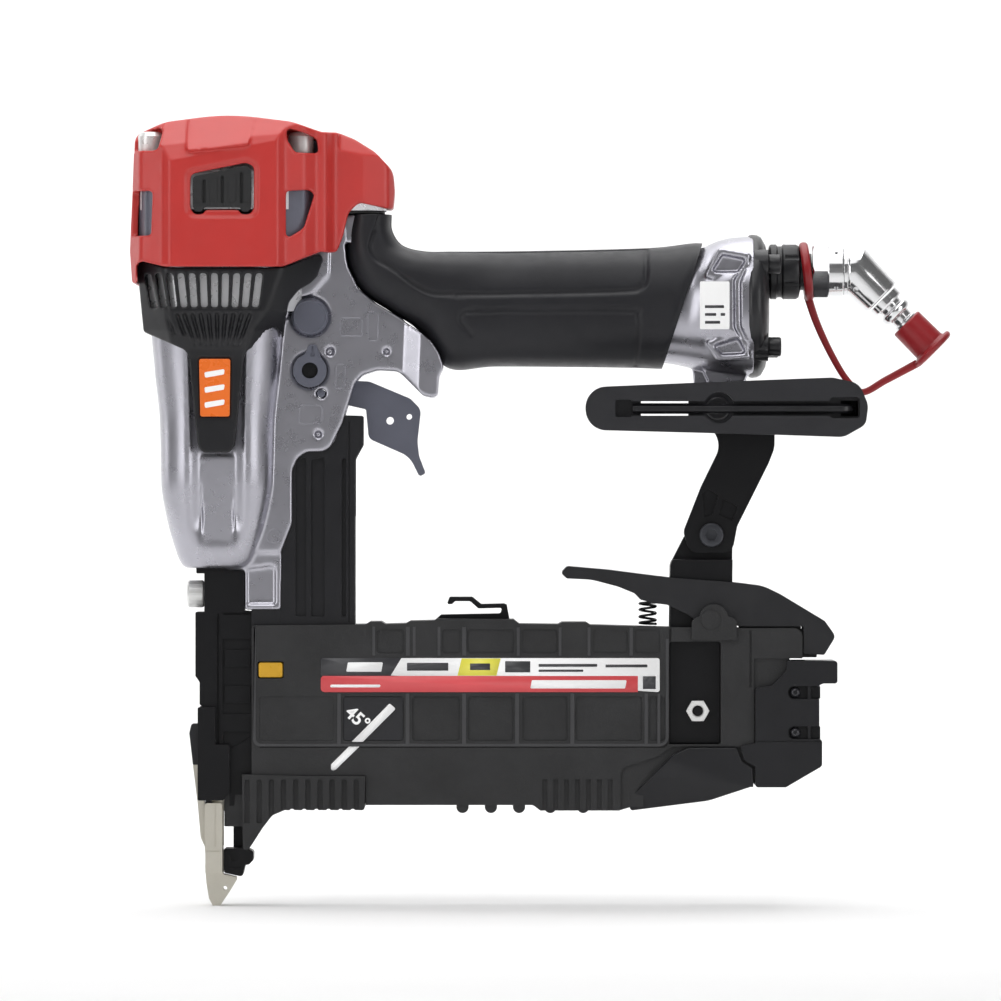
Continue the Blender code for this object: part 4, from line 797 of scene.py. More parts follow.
def make_cast_marks():
    """Raised outlines on the flange in place of its cast symbols, and a round one by the nose."""
    face, wall = -HOUSING_HALF, 0.6
    outlines = (
        (43.4, 204.2, 52, 211.3), (53.4, 202.4, 57.7, 213.6), (41.9, 185.4, 45.8, 194.6),
        (23.5, 170.4, 26.4, 181), (28.9, 172.9, 37.8, 180),
    )
    marks = None
    for x0, z0, x1, z1 in outlines:
        outer = plate(rectangle(x0, z0, x1, z1, 1.4), face - 0.45, face + 0.6)
        inside = rectangle(x0 + wall, z0 + wall, x1 - wall, z1 - wall, 0.9)
        cut(outer, plate(inside, face - 1, face + 0.2))
        marks = fuse(marks, outer) if marks else outer
    ring = rod(2.7, (20, face - 0.3, 132.8), (20, face + 0.6, 132.8))
    cut(ring, rod(2.1, (20, face - 1, 132.8), (20, face + 0.2, 132.8)))
    fuse(marks, ring)
    piece(crisp(marks, 0.12, 1), "cast_marks", CAST)


def make_band():
    """The bright metal behind the collar's slots."""
    liner = loft(collar_rings(2.4, 213.4, 228))
    cut(liner, loft(collar_rings(3.6, 212, 229)), box((30, -30, 200), (60, 30, 240)))
    piece(crisp(liner, 0.3), "casting_band", CAST_BRIGHT)


make_casting()
make_cast_marks()
make_band()


def make_grille():
    grille = loft(collar_rings())
    outline = [
        (-29.8, 232.6), (-28.3, 223.6, 2), (-26.6, 206, 1.5), (-11.6, 199.5, 2.5), (-10.2, 197.6, 2),
        (-6.8, 165, 2.4), (-5, 162.6, 2.4), (4.6, 162.6, 2.4), (6.4, 165, 2.4), (9.8, 197.4, 2),
        (11.2, 199.5, 2.5), (23.6, 203.4, 2), (24.3, 210.5, 4), (25.6, 216.6, 4), (29, 220.9, 4),
        (33.4, 223.6, 4), (36.8, 227, 3), (38.1, 232.8, 2), (36.2, 233.9), (23.6, 228.8), (-18.4, 228.8),
    ]
    common(grille, plate(outline, -40, 40))
    cut(grille, loft(jacket_rings(0.5)), box((4, -12.9, 190), (60, 12.9, 240)))
    spacing, first, count = 4.02, -24.9, 11
    for i in range(count):
        x, wide = first + spacing * i, 1.25
        foot = x * 0.9
        slot = [(x - wide, 226.7, 0.5), (x + wide, 226.7, 0.5), (foot + wide, 214.6, 0.5),
            (foot - wide, 214.6, 0.5)]
        cut(grille, plate(slot, -40, -15), plate(slot, 15, 40))
    fan = []
    for i in range(-4, 5):
        head, toe = i * 3 + 0.2, i * 1.9 + 0.2
        fan.append([(head - 0.75, 212.6), (head + 0.75, 212.6), (toe + 0.55, 200.8), (toe - 0.55, 200.8)])
    for x in (-23, -18.8, -15):
        fan.append([(x, 212.4), (x + 1.4, 212.4), (x + 4.4, 204.4), (x + 3, 204.4)])
    for side in (-1, 1):
        ribs = merged([side_plate(groove, side, 20, 40) for groove in fan])
        slice_off(ribs, (0, side * 27.9, 213), (0, side * -1, 0.17))
        cut(grille, ribs)
    seat = [(-6.5, 175, 1), (5.1, 175, 1), (5.5, 196.9, 1), (-6.9, 196.9, 1)]
    seat_cut = plate(seat, -40, -24.4)
    slice_off(seat_cut, (0, -24.5, 176), (0, 1, 0.034))
    cut(grille, seat_cut)
    moulded(grille, 0.45, 2, 0.55)
    piece(grille, "grille_collar", NYLON_SMOOTH, stands_for=("front_grille",))

    badge = plate([(-5.9, 175.6, 0.8), (4.6, 175.6, 0.8), (4.9, 196.2, 0.8), (-6.3, 196.2, 0.8)], -25.7,
        -24.5)
    bars = [plate([(-4.2, z, 0.5), (2.6, z + 1.2, 0.5), (2.9, z + 3.2, 0.5), (-4.4, z + 2, 0.5)], -25.85,
        -25.5) for z in (178.6, 184, 189.4)]
    marks = fuse(bars[0], *bars[1:])
    for thing in (badge, marks):
        for vert in thing.data.vertices:
            vert.co.y -= 0.03 * (vert.co.z - 176 * MM)
    piece(crisp(badge, 0.25), "badge_enamel", ORANGE, stands_for=("badge_plate",))
    piece(crisp(marks, 0.08, 1), "badge_bars", PRINT_WHITE)


make_grille()


# ---------------------------------------------------------------- grip and its flared end


GRIP = (
    (47, 248.3, 62.2, 248.3, 14.4),
    (45.7, 240, 62.5, 242.6, 14.8),
    (46.6, 230, 66.2, 237.4, 15.8),
    (51.8, 220.4, 74, 235.3, 16.8),
    (62, 213.4, 84, 235.2, 17.5),
    (71.6, 206.9, 93, 235.2, 18),
    (82.2, 193.4, 103, 235.3, 18.5),
    (100, 193.8, 116, 235.5, 18.5),
    (130, 193.6, 140, 236, 18.6),
    (150, 193.3, 158, 236.7, 19.3),
    (157.6, 193, 169.6, 238.1, 20.6),
    (159.4, 193, 174, 238.2, 20.4),
)
SEAM = (
    (55.4, 241.4), (54.2, 236.4), (56.6, 231.8), (62.4, 228.2), (68.9, 223.2), (75.4, 219.7), (84, 218.9),
    (113.4, 219.2), (145.5, 220), (151.6, 221.2), (153.8, 224.6), (154.2, 234),
)
PANEL = ((90.9, 205), (86.9, 209.8), (87.9, 212.6), (91.4, 213.3), (113.4, 213.5), (147.6, 213.5),
    (150.4, 211.9), (150.9, 205), (149.8, 193.6))


def to_line(line, x, z):
    """Signed distance from a point to a polyline: positive on its left."""
    best, side = 1e9, 1
    for (ax, az), (bx, bz) in zip(line, line[1:]):
        dx, dz = bx - ax, bz - az
        t = max(0, min(1, ((x - ax) * dx + (z - az) * dz) / (dx * dx + dz * dz)))
        ex, ez = x - ax - dx * t, z - az - dz * t
        away = ex * ex + ez * ez
        if away < best:
            best = away
            side = 1 if dx * ez - dz * ex > 0 else -1
    return math.sqrt(best) * side


def make_grip():
    seam = [tuple(p) for p in smooth_through(SEAM, 5)]
    panel = [tuple(p) for p in smooth_through(PANEL, 4)]
    stations = smooth_through(GRIP, 26)
    ends = [stations[0]] * 2 + stations + [stations[-1]] * 2
    insets = [3.4, 0.5, *[0] * len(stations), 0.5, 3.4]
    rings = []
    for (lx, lz, ux, uz, half), inset in zip(ends, insets):
        low, high = Vector((lx, 0, lz)), Vector((ux, 0, uz))
        middle, up = (low + high) / 2, (high - low) / 2
        ring = []
        for a, b in superellipse(up.length - inset, half - inset, 0.78, 240):
            spot = middle + up.normalized() * a
            if abs(b) > half * 0.35 and not inset:
                gap = to_line(seam, spot.x, spot.z)
                step = 0.75 * ease((gap + 0.6) / 1.2)
                groove = 0.7 * math.exp(-(((gap - 0.5) / 0.8) ** 2))
                edge = to_line(panel, spot.x, spot.z)
                trace = 0.75 * math.exp(-((edge / 0.75) ** 2))
                b -= math.copysign(step + groove + trace, b)
            ring.append(spot + Vector((0, b, 0)))
        rings.append(ring)
    grip = loft(rings)
    piece(grip, "grip_cover", RUBBER, stands_for=("grip_sleeve",))


make_grip()


def make_flare():
    """The casting's end behind the rubber: a rounded square with bolt pockets and a flat side pad."""
    stations = ((160, 6.4, 20, 19), (168, 5, 20.8, 19.6), (173, 3.6, 22.2, 21.4), (178, 2, 23.6, 23),
        (184, 0.5, 24.6, 24), (192.2, 0, 25.2, 24.6))
    rings = []
    for x, lean, tall, wide in smooth_through(stations, 5):
        ring = []
        for a, b in superellipse(tall, wide, 0.84, 96):
            ring.append((x + lean * a / tall, b, END_CAP_Z + a))
        rings.append(ring)
    flare = loft(rings)
    lug = plate([(172.5, 171.5, 6), (187, 171.5, 6), (190.4, 193), (186, 197), (170, 197)], -3, 3)
    brace = plate([(173.6, 194), (176.2, 188, 1), (188.8, 188, 1), (191, 194)], -7, 7)
    fuse(flare, lug, brace)
    pads = (
        [(174, 225.2, 1), (188.6, 225.2, 1), (190.9, 234, 1), (179.4, 236, 1)],
        [(174.4, 202.4, 1), (179.6, 195.6, 1), (190.9, 196.2, 1), (188.6, 206, 1)],
    )
    pockets = (
        [(176.6, 227.2, 0.8), (186.4, 227.2, 0.8), (189.4, 232, 0.8), (180.6, 233.6, 0.8)],
        [(177.2, 201, 0.8), (180.6, 197.6, 0.8), (189.4, 198.2, 0.8), (186.4, 203.8, 0.8)],
    )
    groove = [
        (184.6, 224.4, 0.5), (188.2, 229.6, 0.5), (189.2, 228.6, 0.5), (187.2, 223.6, 0.5),
        (187.4, 208, 0.5), (189.6, 202.6, 0.5), (188.2, 201.6, 0.5), (184.8, 207.4, 0.5),
    ]
    for side in (-1, 1):
        cut(flare, side_box(side, 23, 40, 165, 203, 186.6, 227.6))
        fuse(flare, *[side_plate(points, side, 10, 21.9) for points in pads])
        cut(flare, *[side_plate(points, side, 18.9, 40) for points in pockets])
        cut(flare, side_plate(groove, side, 21.6, 40))
    cut(flare, cross_rod(2.8, HOOK_BOLT, 6))
    moulded(flare, 0.5, 3, 0.5)
    piece(flare, "casting_flare", CAST)
    sticker = plate(rectangle(172.6, 206.8, 183.2, 223.9, 0.5), -23.35, -22.9)
    piece(crisp(sticker, 0.06, 1), "side_sticker", PRINT_WHITE)
    lines = [
        plate(rectangle(x, z, x + long, z + 1, 0.2), -23.42, -23.2)
        for x, z, long in ((174.4, 214.4, 6.8), (174.4, 211.6, 4), (180, 211.6, 1.6), (174.4, 208.8, 5.4))
    ]
    piece(merged(lines), "sticker_lines", PRINT_DARK)


make_flare()


# ---------------------------------------------------------------- air inlet


def make_end_cover():
    cap = turned(
        [(0, 190.2), (25, 190.2), (25.6, 190.9), (25.8, 191.8), (25.6, 193.6), (24.8, 195), (22, 196.6),
            (17, 197.5), (11.5, 197.8), (0, 197.8)],
        (0, 0, END_CAP_Z), X_AXIS, 96,
    )
    for y in (-14.8, 14.8):
        for z in (END_CAP_Z - 14.8, END_CAP_Z + 14.8):
            fuse(cap, rod(5.2, (192.4, y, z), (197.2, y, z)))
    piece(crisp(cap, 0.5), "end_cover", OXIDE, stands_for=("end_cap",))


def make_inlet_collar():
    neck = turned(
        [(4, 192), (7.2, 192), (7.2, 197.6), (9.2, 197.9), (9.9, 198.6), (9.9, 200.4), (9.2, 201),
            (9.2, 202.4), (9.9, 203), (9.9, 207.6),
            (9.3, 208.6), (6.6, 209.2), (6.6, 213.2), (4, 213.2)],
        (0, 0, INLET_Z), X_AXIS,
    )
    for k in range(6):
        angle = math.radians(60 * k + 30)
        away = Vector((0, math.cos(angle), math.sin(angle)))
        start = Vector((203.6, 0, INLET_Z)) + away * 10.6
        cut(neck, rod(1.5, start, start + X_AXIS * 8, 24))
    piece(crisp(neck, 0.3), "inlet_collar", NYLON_SMOOTH, stands_for=("inlet_neck",))


def make_inlet_nut():
    nut = rod(10.7, (213.5, 0, INLET_Z), (219.4, 0, INLET_Z), 6)
    common(nut, turned([(0, 213.4), (9.5, 213.4), (10.9, 214.2), (10.9, 218.7), (9.5, 219.5), (0, 219.5)],
        (0, 0, INLET_Z), X_AXIS))
    fuse(nut, turned([(0, 219), (8.9, 219), (8.9, 224.2), (8.5, 224.7), (0, 224.7)], (0, 0, INLET_Z),
        X_AXIS))
    for angle in (0, 90, 180, 270):
        out = Vector((0, math.sin(math.radians(angle - 42)), math.cos(math.radians(angle - 42))))
        hole = Vector((222, 0, INLET_Z)) + out * 8.1
        cut(nut, rod(0.85, hole, hole + out * 3, 20))
    cut(nut, rod(3.5, (210, 0, INLET_Z), (230, 0, INLET_Z)))
    piece(crisp(nut, 0.25), "inlet_nut", CHROME, stands_for=("plug_nut",))


def make_nipple():
    nipple = turned(
        [(2.4, 13.9), (6.4, 13.9), (6.4, 16.4), (5.9, 17), (4.6, 17.2), (4.5, 18.6), (5.5, 19.2),
            (5.9, 19.8), (5.9, 21), (5.4, 21.8), (4, 22.6),
            (3.9, 24.6), (4.7, 25.2), (4.7, 35), (4, 36.2), (2.4, 36.2)],
        ELBOW, LEG,
    )
    piece(crisp(nipple, 0.15), "air_nipple", CHROME, "plug", ("plug_nipple",))


def make_dust_cover():
    cap = turned(
        [(0, 36.8), (5.1, 36.8), (5.1, 26), (5.6, 25.8), (6.1, 26.3), (6.3, 37.6), (6.8, 38.2), (8, 38.2),
            (8.6, 38.7), (8.7, 39.4), (8.3, 40.2),
            (7.4, 40.6), (3, 40.7), (0, 40.5)],
        ELBOW, LEG, 72,
    )
    piece(crisp(cap, 0.2), "dust_cover", RED_RUBBER, "dust_cap", ("dust_cap",))


def make_tether_ring():
    ring = turned(
        [(7, -1.5), (9.8, -1.6), (10.6, -1), (10.8, 0), (10.6, 1), (9.8, 1.6), (7, 1.5)],
        (211.4, 0, INLET_Z), Vector((1, 0, 0.11)), 72,
    )
    piece(crisp(ring, 0.2), "tether_ring", RED_RUBBER, "elbow", ("strap_ring",))


def make_elbow():
    """A mitred tube with turned shoulders: level from the nut to the corner, then 45 degrees down."""
    sides = 64
    bisector = (X_AXIS + LEG).normalized()
    stations = (
        (-3.9, 8.3), (-3.7, 8.6), (-2.6, 8.6), (-2.3, 8.2), (-2, 8.4), (-1.6, 8.6), (0, 8.4), (0.6, 7.9),
        (12.6, 7.6), (13.1, 7.3), (13.3, 6.8),
    )
    rings = []
    for along, radius in stations:
        if along < 0:
            at, normal, stretch = ELBOW + X_AXIS * (along - 0.4), X_AXIS, 1
        elif along == 0:
            at, normal, stretch = ELBOW.copy(), bisector, 1 / math.cos(math.radians(22.5))
        else:
            at, normal, stretch = ELBOW + LEG * (along + (3.4 if along < 1 else 0)), LEG, 1
        down = Y_AXIS.cross(normal).normalized()
        ring = []
        for k in range(sides):
            angle = math.tau * k / sides
            ring.append(at + Y_AXIS * radius * math.cos(angle) + down * radius * stretch * math.sin(angle))
        rings.append(ring)
    tube = loft(rings)
    hole = ELBOW + LEG * 4.6
    cut(tube, rod(1, hole + Vector((-3.6, -9, -3.6)), hole + Vector((-2.8, -3, -2.8)), 20))
    cut(tube, rod(3, ELBOW + LEG * 9, ELBOW + LEG * 20, 32))
    piece(crisp(tube, 0.2, 2, 25), "elbow_body", CHROME, "elbow", ("swivel_elbow",))


# The tether's route, as in the CAD part, from the ring down, round and up to the cap's rim.
STRAP_ROUTE = ((211.9, 219.2), (215.2, 209.4), (220.4, 198.2), (226, 189), (231.6, 184.6), (240.2, 189),
    (251.4, 195))


def make_strap():
    route = smooth_through(STRAP_ROUTE, 10)
    rings = []
    for i, (x, z) in enumerate(route):
        ahead = route[min(i + 1, len(route) - 1)] - route[max(i - 1, 0)]
        across = Vector((-ahead.y, ahead.x)).normalized()
        wide = 1.45 - 0.25 * math.sin(math.pi * i / (len(route) - 1))
        ring = []
        for a, b in superellipse(wide, 1, 0.7, 24):
            ring.append((x + across.x * a, b, z + across.y * a))
        rings.append(ring)
    strap = loft(rings)
    strap.name = "cap_tether"
    strap.data.name = "cap_tether"
    strap.data.materials.append(RED_RUBBER)
    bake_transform(strap)
    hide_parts("cap_strap")


make_end_cover()
make_inlet_collar()
make_inlet_nut()
make_elbow()
make_nipple()
make_dust_cover()
make_tether_ring()
make_strap()


# ---------------------------------------------------------------- controls on the flange, and the trigger


def make_controls():
    x, z = PLUG
    plug = turned([(0, 0.2), (6.7, 0.2), (6.7, 2.2), (6.3, 2.9), (5.7, 3.3), (5.5, 3), (0, 3)],
        (x, -HOUSING_HALF + 0.7, z), -Y_AXIS)
    piece(crisp(plug, 0.15), "round_plug", BLUE_GREY, stands_for=("pivot_plug",))

    x, z = DIAL
    near = -HOUSING_HALF - 0.3
    dial = rod(6, (x, near - 2.6, z), (x, near, z), 64)
    tip = [
        (x - 5, z + 2, 2), (x - 1.4, z + 6.6, 1), (x - 0.5, z + 9.3, 1.2), (x + 2.5, z + 9.3, 1.2),
        (x + 3.2, z + 6.6, 1), (x + 5.2, z + 2, 2),
    ]
    fuse(dial, plate(tip, near - 2.4, near), rod(2.2, (x, near - 0.5, z), (x, -7.4, z), 32))
    cut(
        dial,
        rod(2.9, (x, near - 4, z), (x, near - 1, z), 48),
        plate([(x + 0.2, z + 5, 0.3), (x + 1.8, z + 5, 0.3), (x + 1.3, z + 8.6, 0.3),
            (x + 0.7, z + 8.6, 0.3)], near - 4, near - 1.9),
    )
    piece(crisp(dial, 0.35), "lock_knob", BLUE_GREY, "lock_dial", ("lock_dial",))
    # A near-black disc and bar at the floor of the dial's hole: painted shade in the hole.
    socket = rod(2.8, (x, near - 1.3, z), (x, near - 0.9, z), 48)
    fuse(socket, plate([(x - 0.4, z - 2.2), (x + 1.9, z - 1.9), (x + 2.2, z + 1), (x - 0.4, z + 0.6)],
        near - 1.7, near - 1))
    piece(crisp(socket, 0.1), "dial_socket", OXIDE_DEEP_AND_SHADE, "lock_dial")


def make_trigger():
    outline = [
        (33.5, 181.5, 3), (33.5, 188.5, 3), (44, 188.8, 2), (54.2, 188.4, 6), (69, 182.2, 5),
        (72.7, 178.4, 4), (71.4, 167, 14), (72, 161.6, 8), (74.4, 155.4, 0.9), (72.2, 154.2, 0.9),
        (68.6, 161.4, 9), (54, 167.8, 3), (53, 178.4, 1), (46, 180),
    ]
    trigger = plate(outline, -6.2, 6.2, 10)
    channel = [(30, 183.6), (46, 182), (55, 180, 2), (55.6, 169.4, 2), (69.2, 163.4, 6), (72, 159),
        (80, 159), (80, 195), (30, 195)]
    cut(
        trigger,
        plate(channel, -4.6, 4.6),
        cross_rod(1.8, TRIGGER_PIN, 9),
        cross_rod(1.4, (61.6, 174.3), 9),
        cross_rod(1.05, (68.5, 175.7), 9),
    )
    fuse(trigger, box((VALVE_X - 3, -4.9, 184), (VALVE_X + 3, 4.9, 185.4)))
    piece(crisp(trigger, 0.45, 3), "trigger_blade", BLUE_GREY, "trigger", ("trigger",))


make_controls()
make_trigger()


# ---------------------------------------------------------------- hook, wrench and stay


def make_hook():
    x, z = HOOK_BOLT
    near, back = -36, -28.8
    outline = [
        (131.6, 178.4, 7.6), (132.2, 185.9, 7.4), (174.2, 187.7), (219.5, 189.4, 8), (229, 187.4, 6),
        (232.3, 179.6, 7), (231.4, 172.6, 4), (223.6, 168.2, 6), (199.9, 169), (138.9, 170.6),
        (132.4, 170.9, 7.4),
    ]
    hook = plate(outline, near, back, 10)
    bridge = plate([(214, 171, 3), (229, 171, 4), (230, 185.8, 4), (214, 186.6, 3)], back - 1, -7.2)
    root = plate([(171, 178.6, 6), (173, 186, 5), (216, 186.6), (229, 185.8, 4), (229, 171, 4), (216, 171),
        (173, 171.2, 5)], -12, -7.2)
    fuse(hook, bridge, root)
    recess = [
        (142.2, 181.5, 0.8), (147.8, 181.5, 0.4), (148.2, 181), (218.4, 181), (219.2, 182.4, 0.6),
        (229.3, 182.4, 1.2), (229.3, 174.9, 1.2), (219.2, 174.9, 0.6),
        (218.4, 175.8), (148.2, 175.8), (147.8, 175.3, 0.4), (142.2, 175.3, 0.8),
    ]
    cut(
        hook,
        plate(recess, near - 2, near + 4.6),
        box((222.6, near - 2, 175.6), (228.8, -16, 181.2)),
        box((151.4, near - 2, 180.3), (168.3, back + 2, 181)),
        box((151.4, near - 2, 175.8), (168.3, back + 2, 176.5)),
        rod(5.6, (x, near - 2, z), (x, back + 2, z), 48),
        rod(2.8, (x, -20, z), (x, 0, z), 32),
    )
    piece(crisp(hook, 0.7, 3), "side_hook", NYLON_GREY, "hook", ("hook",))


def make_wrench():
    path = [Vector((148.4, -33.6, 178.3)), Vector((222.6, -33.6, 178.3))]
    for k in range(1, 9):
        angle = math.pi / 2 * k / 8
        path.append(Vector((222.6 + 3.4 * math.sin(angle), -33.6 + 3.4 * (1 - math.cos(angle)), 178.3)))
    path.append(Vector((226, -18, 178.3)))
    rings = []
    for i, at in enumerate(path):
        along = (path[min(i + 1, len(path) - 1)] - path[max(i - 1, 0)]).normalized()
        side = Z_AXIS.cross(along).normalized()
        rings.append([at + (Z_AXIS * math.cos(math.tau * k / 6) + side * math.sin(math.tau * k / 6)) * 1.73
            for k in range(6)])
    piece(crisp(loft(rings), 0.22, 2, 40), "stored_wrench", OXIDE, "hex_wrench", ("hex_wrench",))


def make_stay():
    upper = plate(
        [(171.4, 176, 5), (174, 185.4, 5), (188, 185.4, 5), (199.9, 176, 8), (199.8, 164.4, 10),
            (197.6, 158.8, 4), (186.4, 136.4, 6), (184.6, 126.8, 4),
            (169.4, 126.8, 4), (167, 134.4, 4), (173.4, 150.7), (181.6, 167.4, 8)],
        -6.6, -3.3, 8,
    )
    cut(
        upper,
        cross_rod(2.8, HOOK_BOLT, 20),
        cross_rod(2.8, STAY_BOLT, 20),
        plate([(173.8, 148.2, 0.4), (176, 149.8, 0.4), (179.6, 147.6, 0.4), (177.4, 140.6, 0.4),
            (174.6, 139.6, 0.4)], -10, -5.7),
        plate([(181.4, 146.2, 0.4), (186.6, 143.4, 0.4), (184.6, 138.4, 0.4), (179.8, 140.6, 0.4)], -10,
            -5.7),
    )
    piece(crisp(upper, 0.3), "stay_plate_upper", OXIDE_DEEP_AND_SHADE, stands_for=("stay_upper",))
    lower = plate(
        [(162, 58.4), (180.2, 58.4), (180.2, 95), (184.4, 102, 2), (184.8, 133, 4), (182.4, 139, 3),
            (171.6, 139, 3), (167.2, 132.3, 2), (162.3, 122.8, 4), (162, 96)],
        -8.8, 8.8, 8,
    )
    cut(
        lower,
        box((150, -6.3, 50), (200, 6.3, 118)),
        box((150, -12, 124.4), (200, -3, 150)),
        box((150, 3, 124.4), (200, 12, 150)),
        cross_rod(2.8, STAY_BOLT, 20),
        cross_rod(2.6, LATCH_PIVOT, 20),
        cross_rod(2.3, MAGAZINE_BOLT, 20),
    )
    piece(crisp(lower, 0.3), "stay_plate_lower", OXIDE_DEEP_AND_SHADE, stands_for=("stay_lower",))


def make_magazine_nut():
    mx, mz = MAGAZINE_BOLT
    nut = rod(4.2, (mx, -8.9, mz), (mx, -12.3, mz), 6)
    common(nut, turned([(0, 8.8), (4.3, 8.8), (4.3, 11.8), (3.6, 12.4), (0, 12.4)], (mx, 0, mz), -Y_AXIS,
        48))
    cut(nut, rod(2.2, (mx, -10.9, mz), (mx, -13, mz), 32))
    piece(crisp(nut, 0.3), "magazine_nut", ZINC, stands_for=("magazine_bolt",))
    stud = turned([(0, 5.5), (1.9, 5.5), (1.9, 11.2), (1.4, 11.6), (0, 11.6)], (mx, 0, mz), -Y_AXIS, 32)
    piece(crisp(stud, 0.1), "magazine_stud", OXIDE_DEEP_AND_SHADE)


make_hook()
make_wrench()
make_stay()
make_magazine_nut()


# ---------------------------------------------------------------- latch lever, springs and clip


def coil(bottom, top, radius, wire, turns, sides=10):
    """A spring with closed ends, swept along its helix."""
    steps = 28
    count = steps * turns
    rings = []
    for k in range(count + 1):
        t = k / count
        angle = math.tau * turns * t
        rise = ease((t - 0.06) / 0.88) * 0.35 + max(0, min(1, (t - 0.06) / 0.88)) * 0.65
        centre = Vector((bottom[0] + radius * math.cos(angle), bottom[1] + radius * math.sin(angle),
            bottom[2] + (top - bottom[2]) * rise))
        out = Vector((math.cos(angle), math.sin(angle), 0))
        rings.append([
            centre + (out * math.cos(math.tau * j / sides) + Z_AXIS * math.sin(math.tau * j / sides))
            * wire / 2 for j in range(sides)
        ])
    return loft(rings)


def make_latch():
    outline = [
        (122.9, 119.6, 1.3), (125.2, 122.1, 1.6), (140, 120.8), (162.6, 117.9), (185.4, 116.2),
        (195.6, 115, 14), (201.6, 112.1, 14), (217.7, 102.4, 2), (221.6, 96.9, 2.4), (217.5, 90.2, 1),
        (210, 90.6, 0.6), (210, 100.4), (189, 100.4), (180.6, 101.1), (172.6, 101.9, 1), (168, 105, 2),
        (161.1, 108.2, 2), (156.7, 108.7), (151.6, 110, 1), (149.6, 112.2, 3), (143.5, 114.7, 16),
        (134, 117.2, 20), (125.1, 117.6, 1.4),
    ]
    lever = plate(outline, -11.4, 11.4, 8)
    inside = [(152, 106), (164, 114.8), (185, 113.4), (196, 111.6), (214, 101), (216, 96.6), (216, 86),
        (152, 86)]
    cut(
        lever,
        plate(inside, -9.4, 9.4),
        box((158.4, -9.1, 100), (190.4, 9.1, 130)),
        cross_rod(2.3, LATCH_PIVOT, 15),
    )
    piece(crisp(lever, 0.5, 3), "latch_arm", OXIDE, "latch", ("latch_lever",))
    x, z = LATCH_PIVOT
    pin = turned([(0, -14.1), (1.5, -14.1), (2, -13.6), (2, 13.6), (1.5, 14.1), (0, 14.1)], (x, 0, z),
        Y_AXIS, 40)
    piece(pin, "latch_axle", OXIDE, stands_for=("latch_pin",))


def make_springs():
    squeeze = coil((154.3, 0, 101.2), 108.9, 2.9, 0.95, 4)
    piece(squeeze, "latch_coil", OXIDE, stands_for=("latch_spring",))
    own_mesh(squeeze)
    arm = coil((35, 0, 129.9), 161.4, 2.9, 0.8, 8)
    piece(arm, "contact_coil", BRIGHT, stands_for=("contact_spring",))
    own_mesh(arm)
    valve = coil((0, 0, 254.4), 261.8, 13, 1.2, 3)
    piece(valve, "valve_coil", BRIGHT, stands_for=("head_valve_spring",))
    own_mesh(valve)


def make_clip():
    clip = plate(
        [(78, 102.9), (104.6, 102.9), (103.6, 108.2, 0.5), (102.6, 108.6, 0.6), (94.4, 108.4, 0.8),
            (91.2, 111, 1), (83, 111, 0.8), (82, 108.2, 0.6), (84, 108.4, 0.4),
            (85, 109.4, 0.6), (90.4, 109.4, 1), (93.4, 106.8, 1), (101.8, 107, 0.5), (101.4, 105, 0.8),
            (80, 104.6, 0.5)],
        -5, 5,
    )
    piece(crisp(clip, 0.2), "top_clip", OXIDE_DEEP_AND_SHADE, stands_for=("accessory_clip",))


make_latch()
make_springs()
make_clip()


# ---------------------------------------------------------------- magazine


def panel_cut(x0, z0, x1, z1, side, depth, radius=1.2):
    """The cutter for a shallow panel in the magazine's side."""
    return side_plate(rectangle(x0, z0, x1, z1, radius), side, MAGAZINE_HALF - depth, 20, 4)


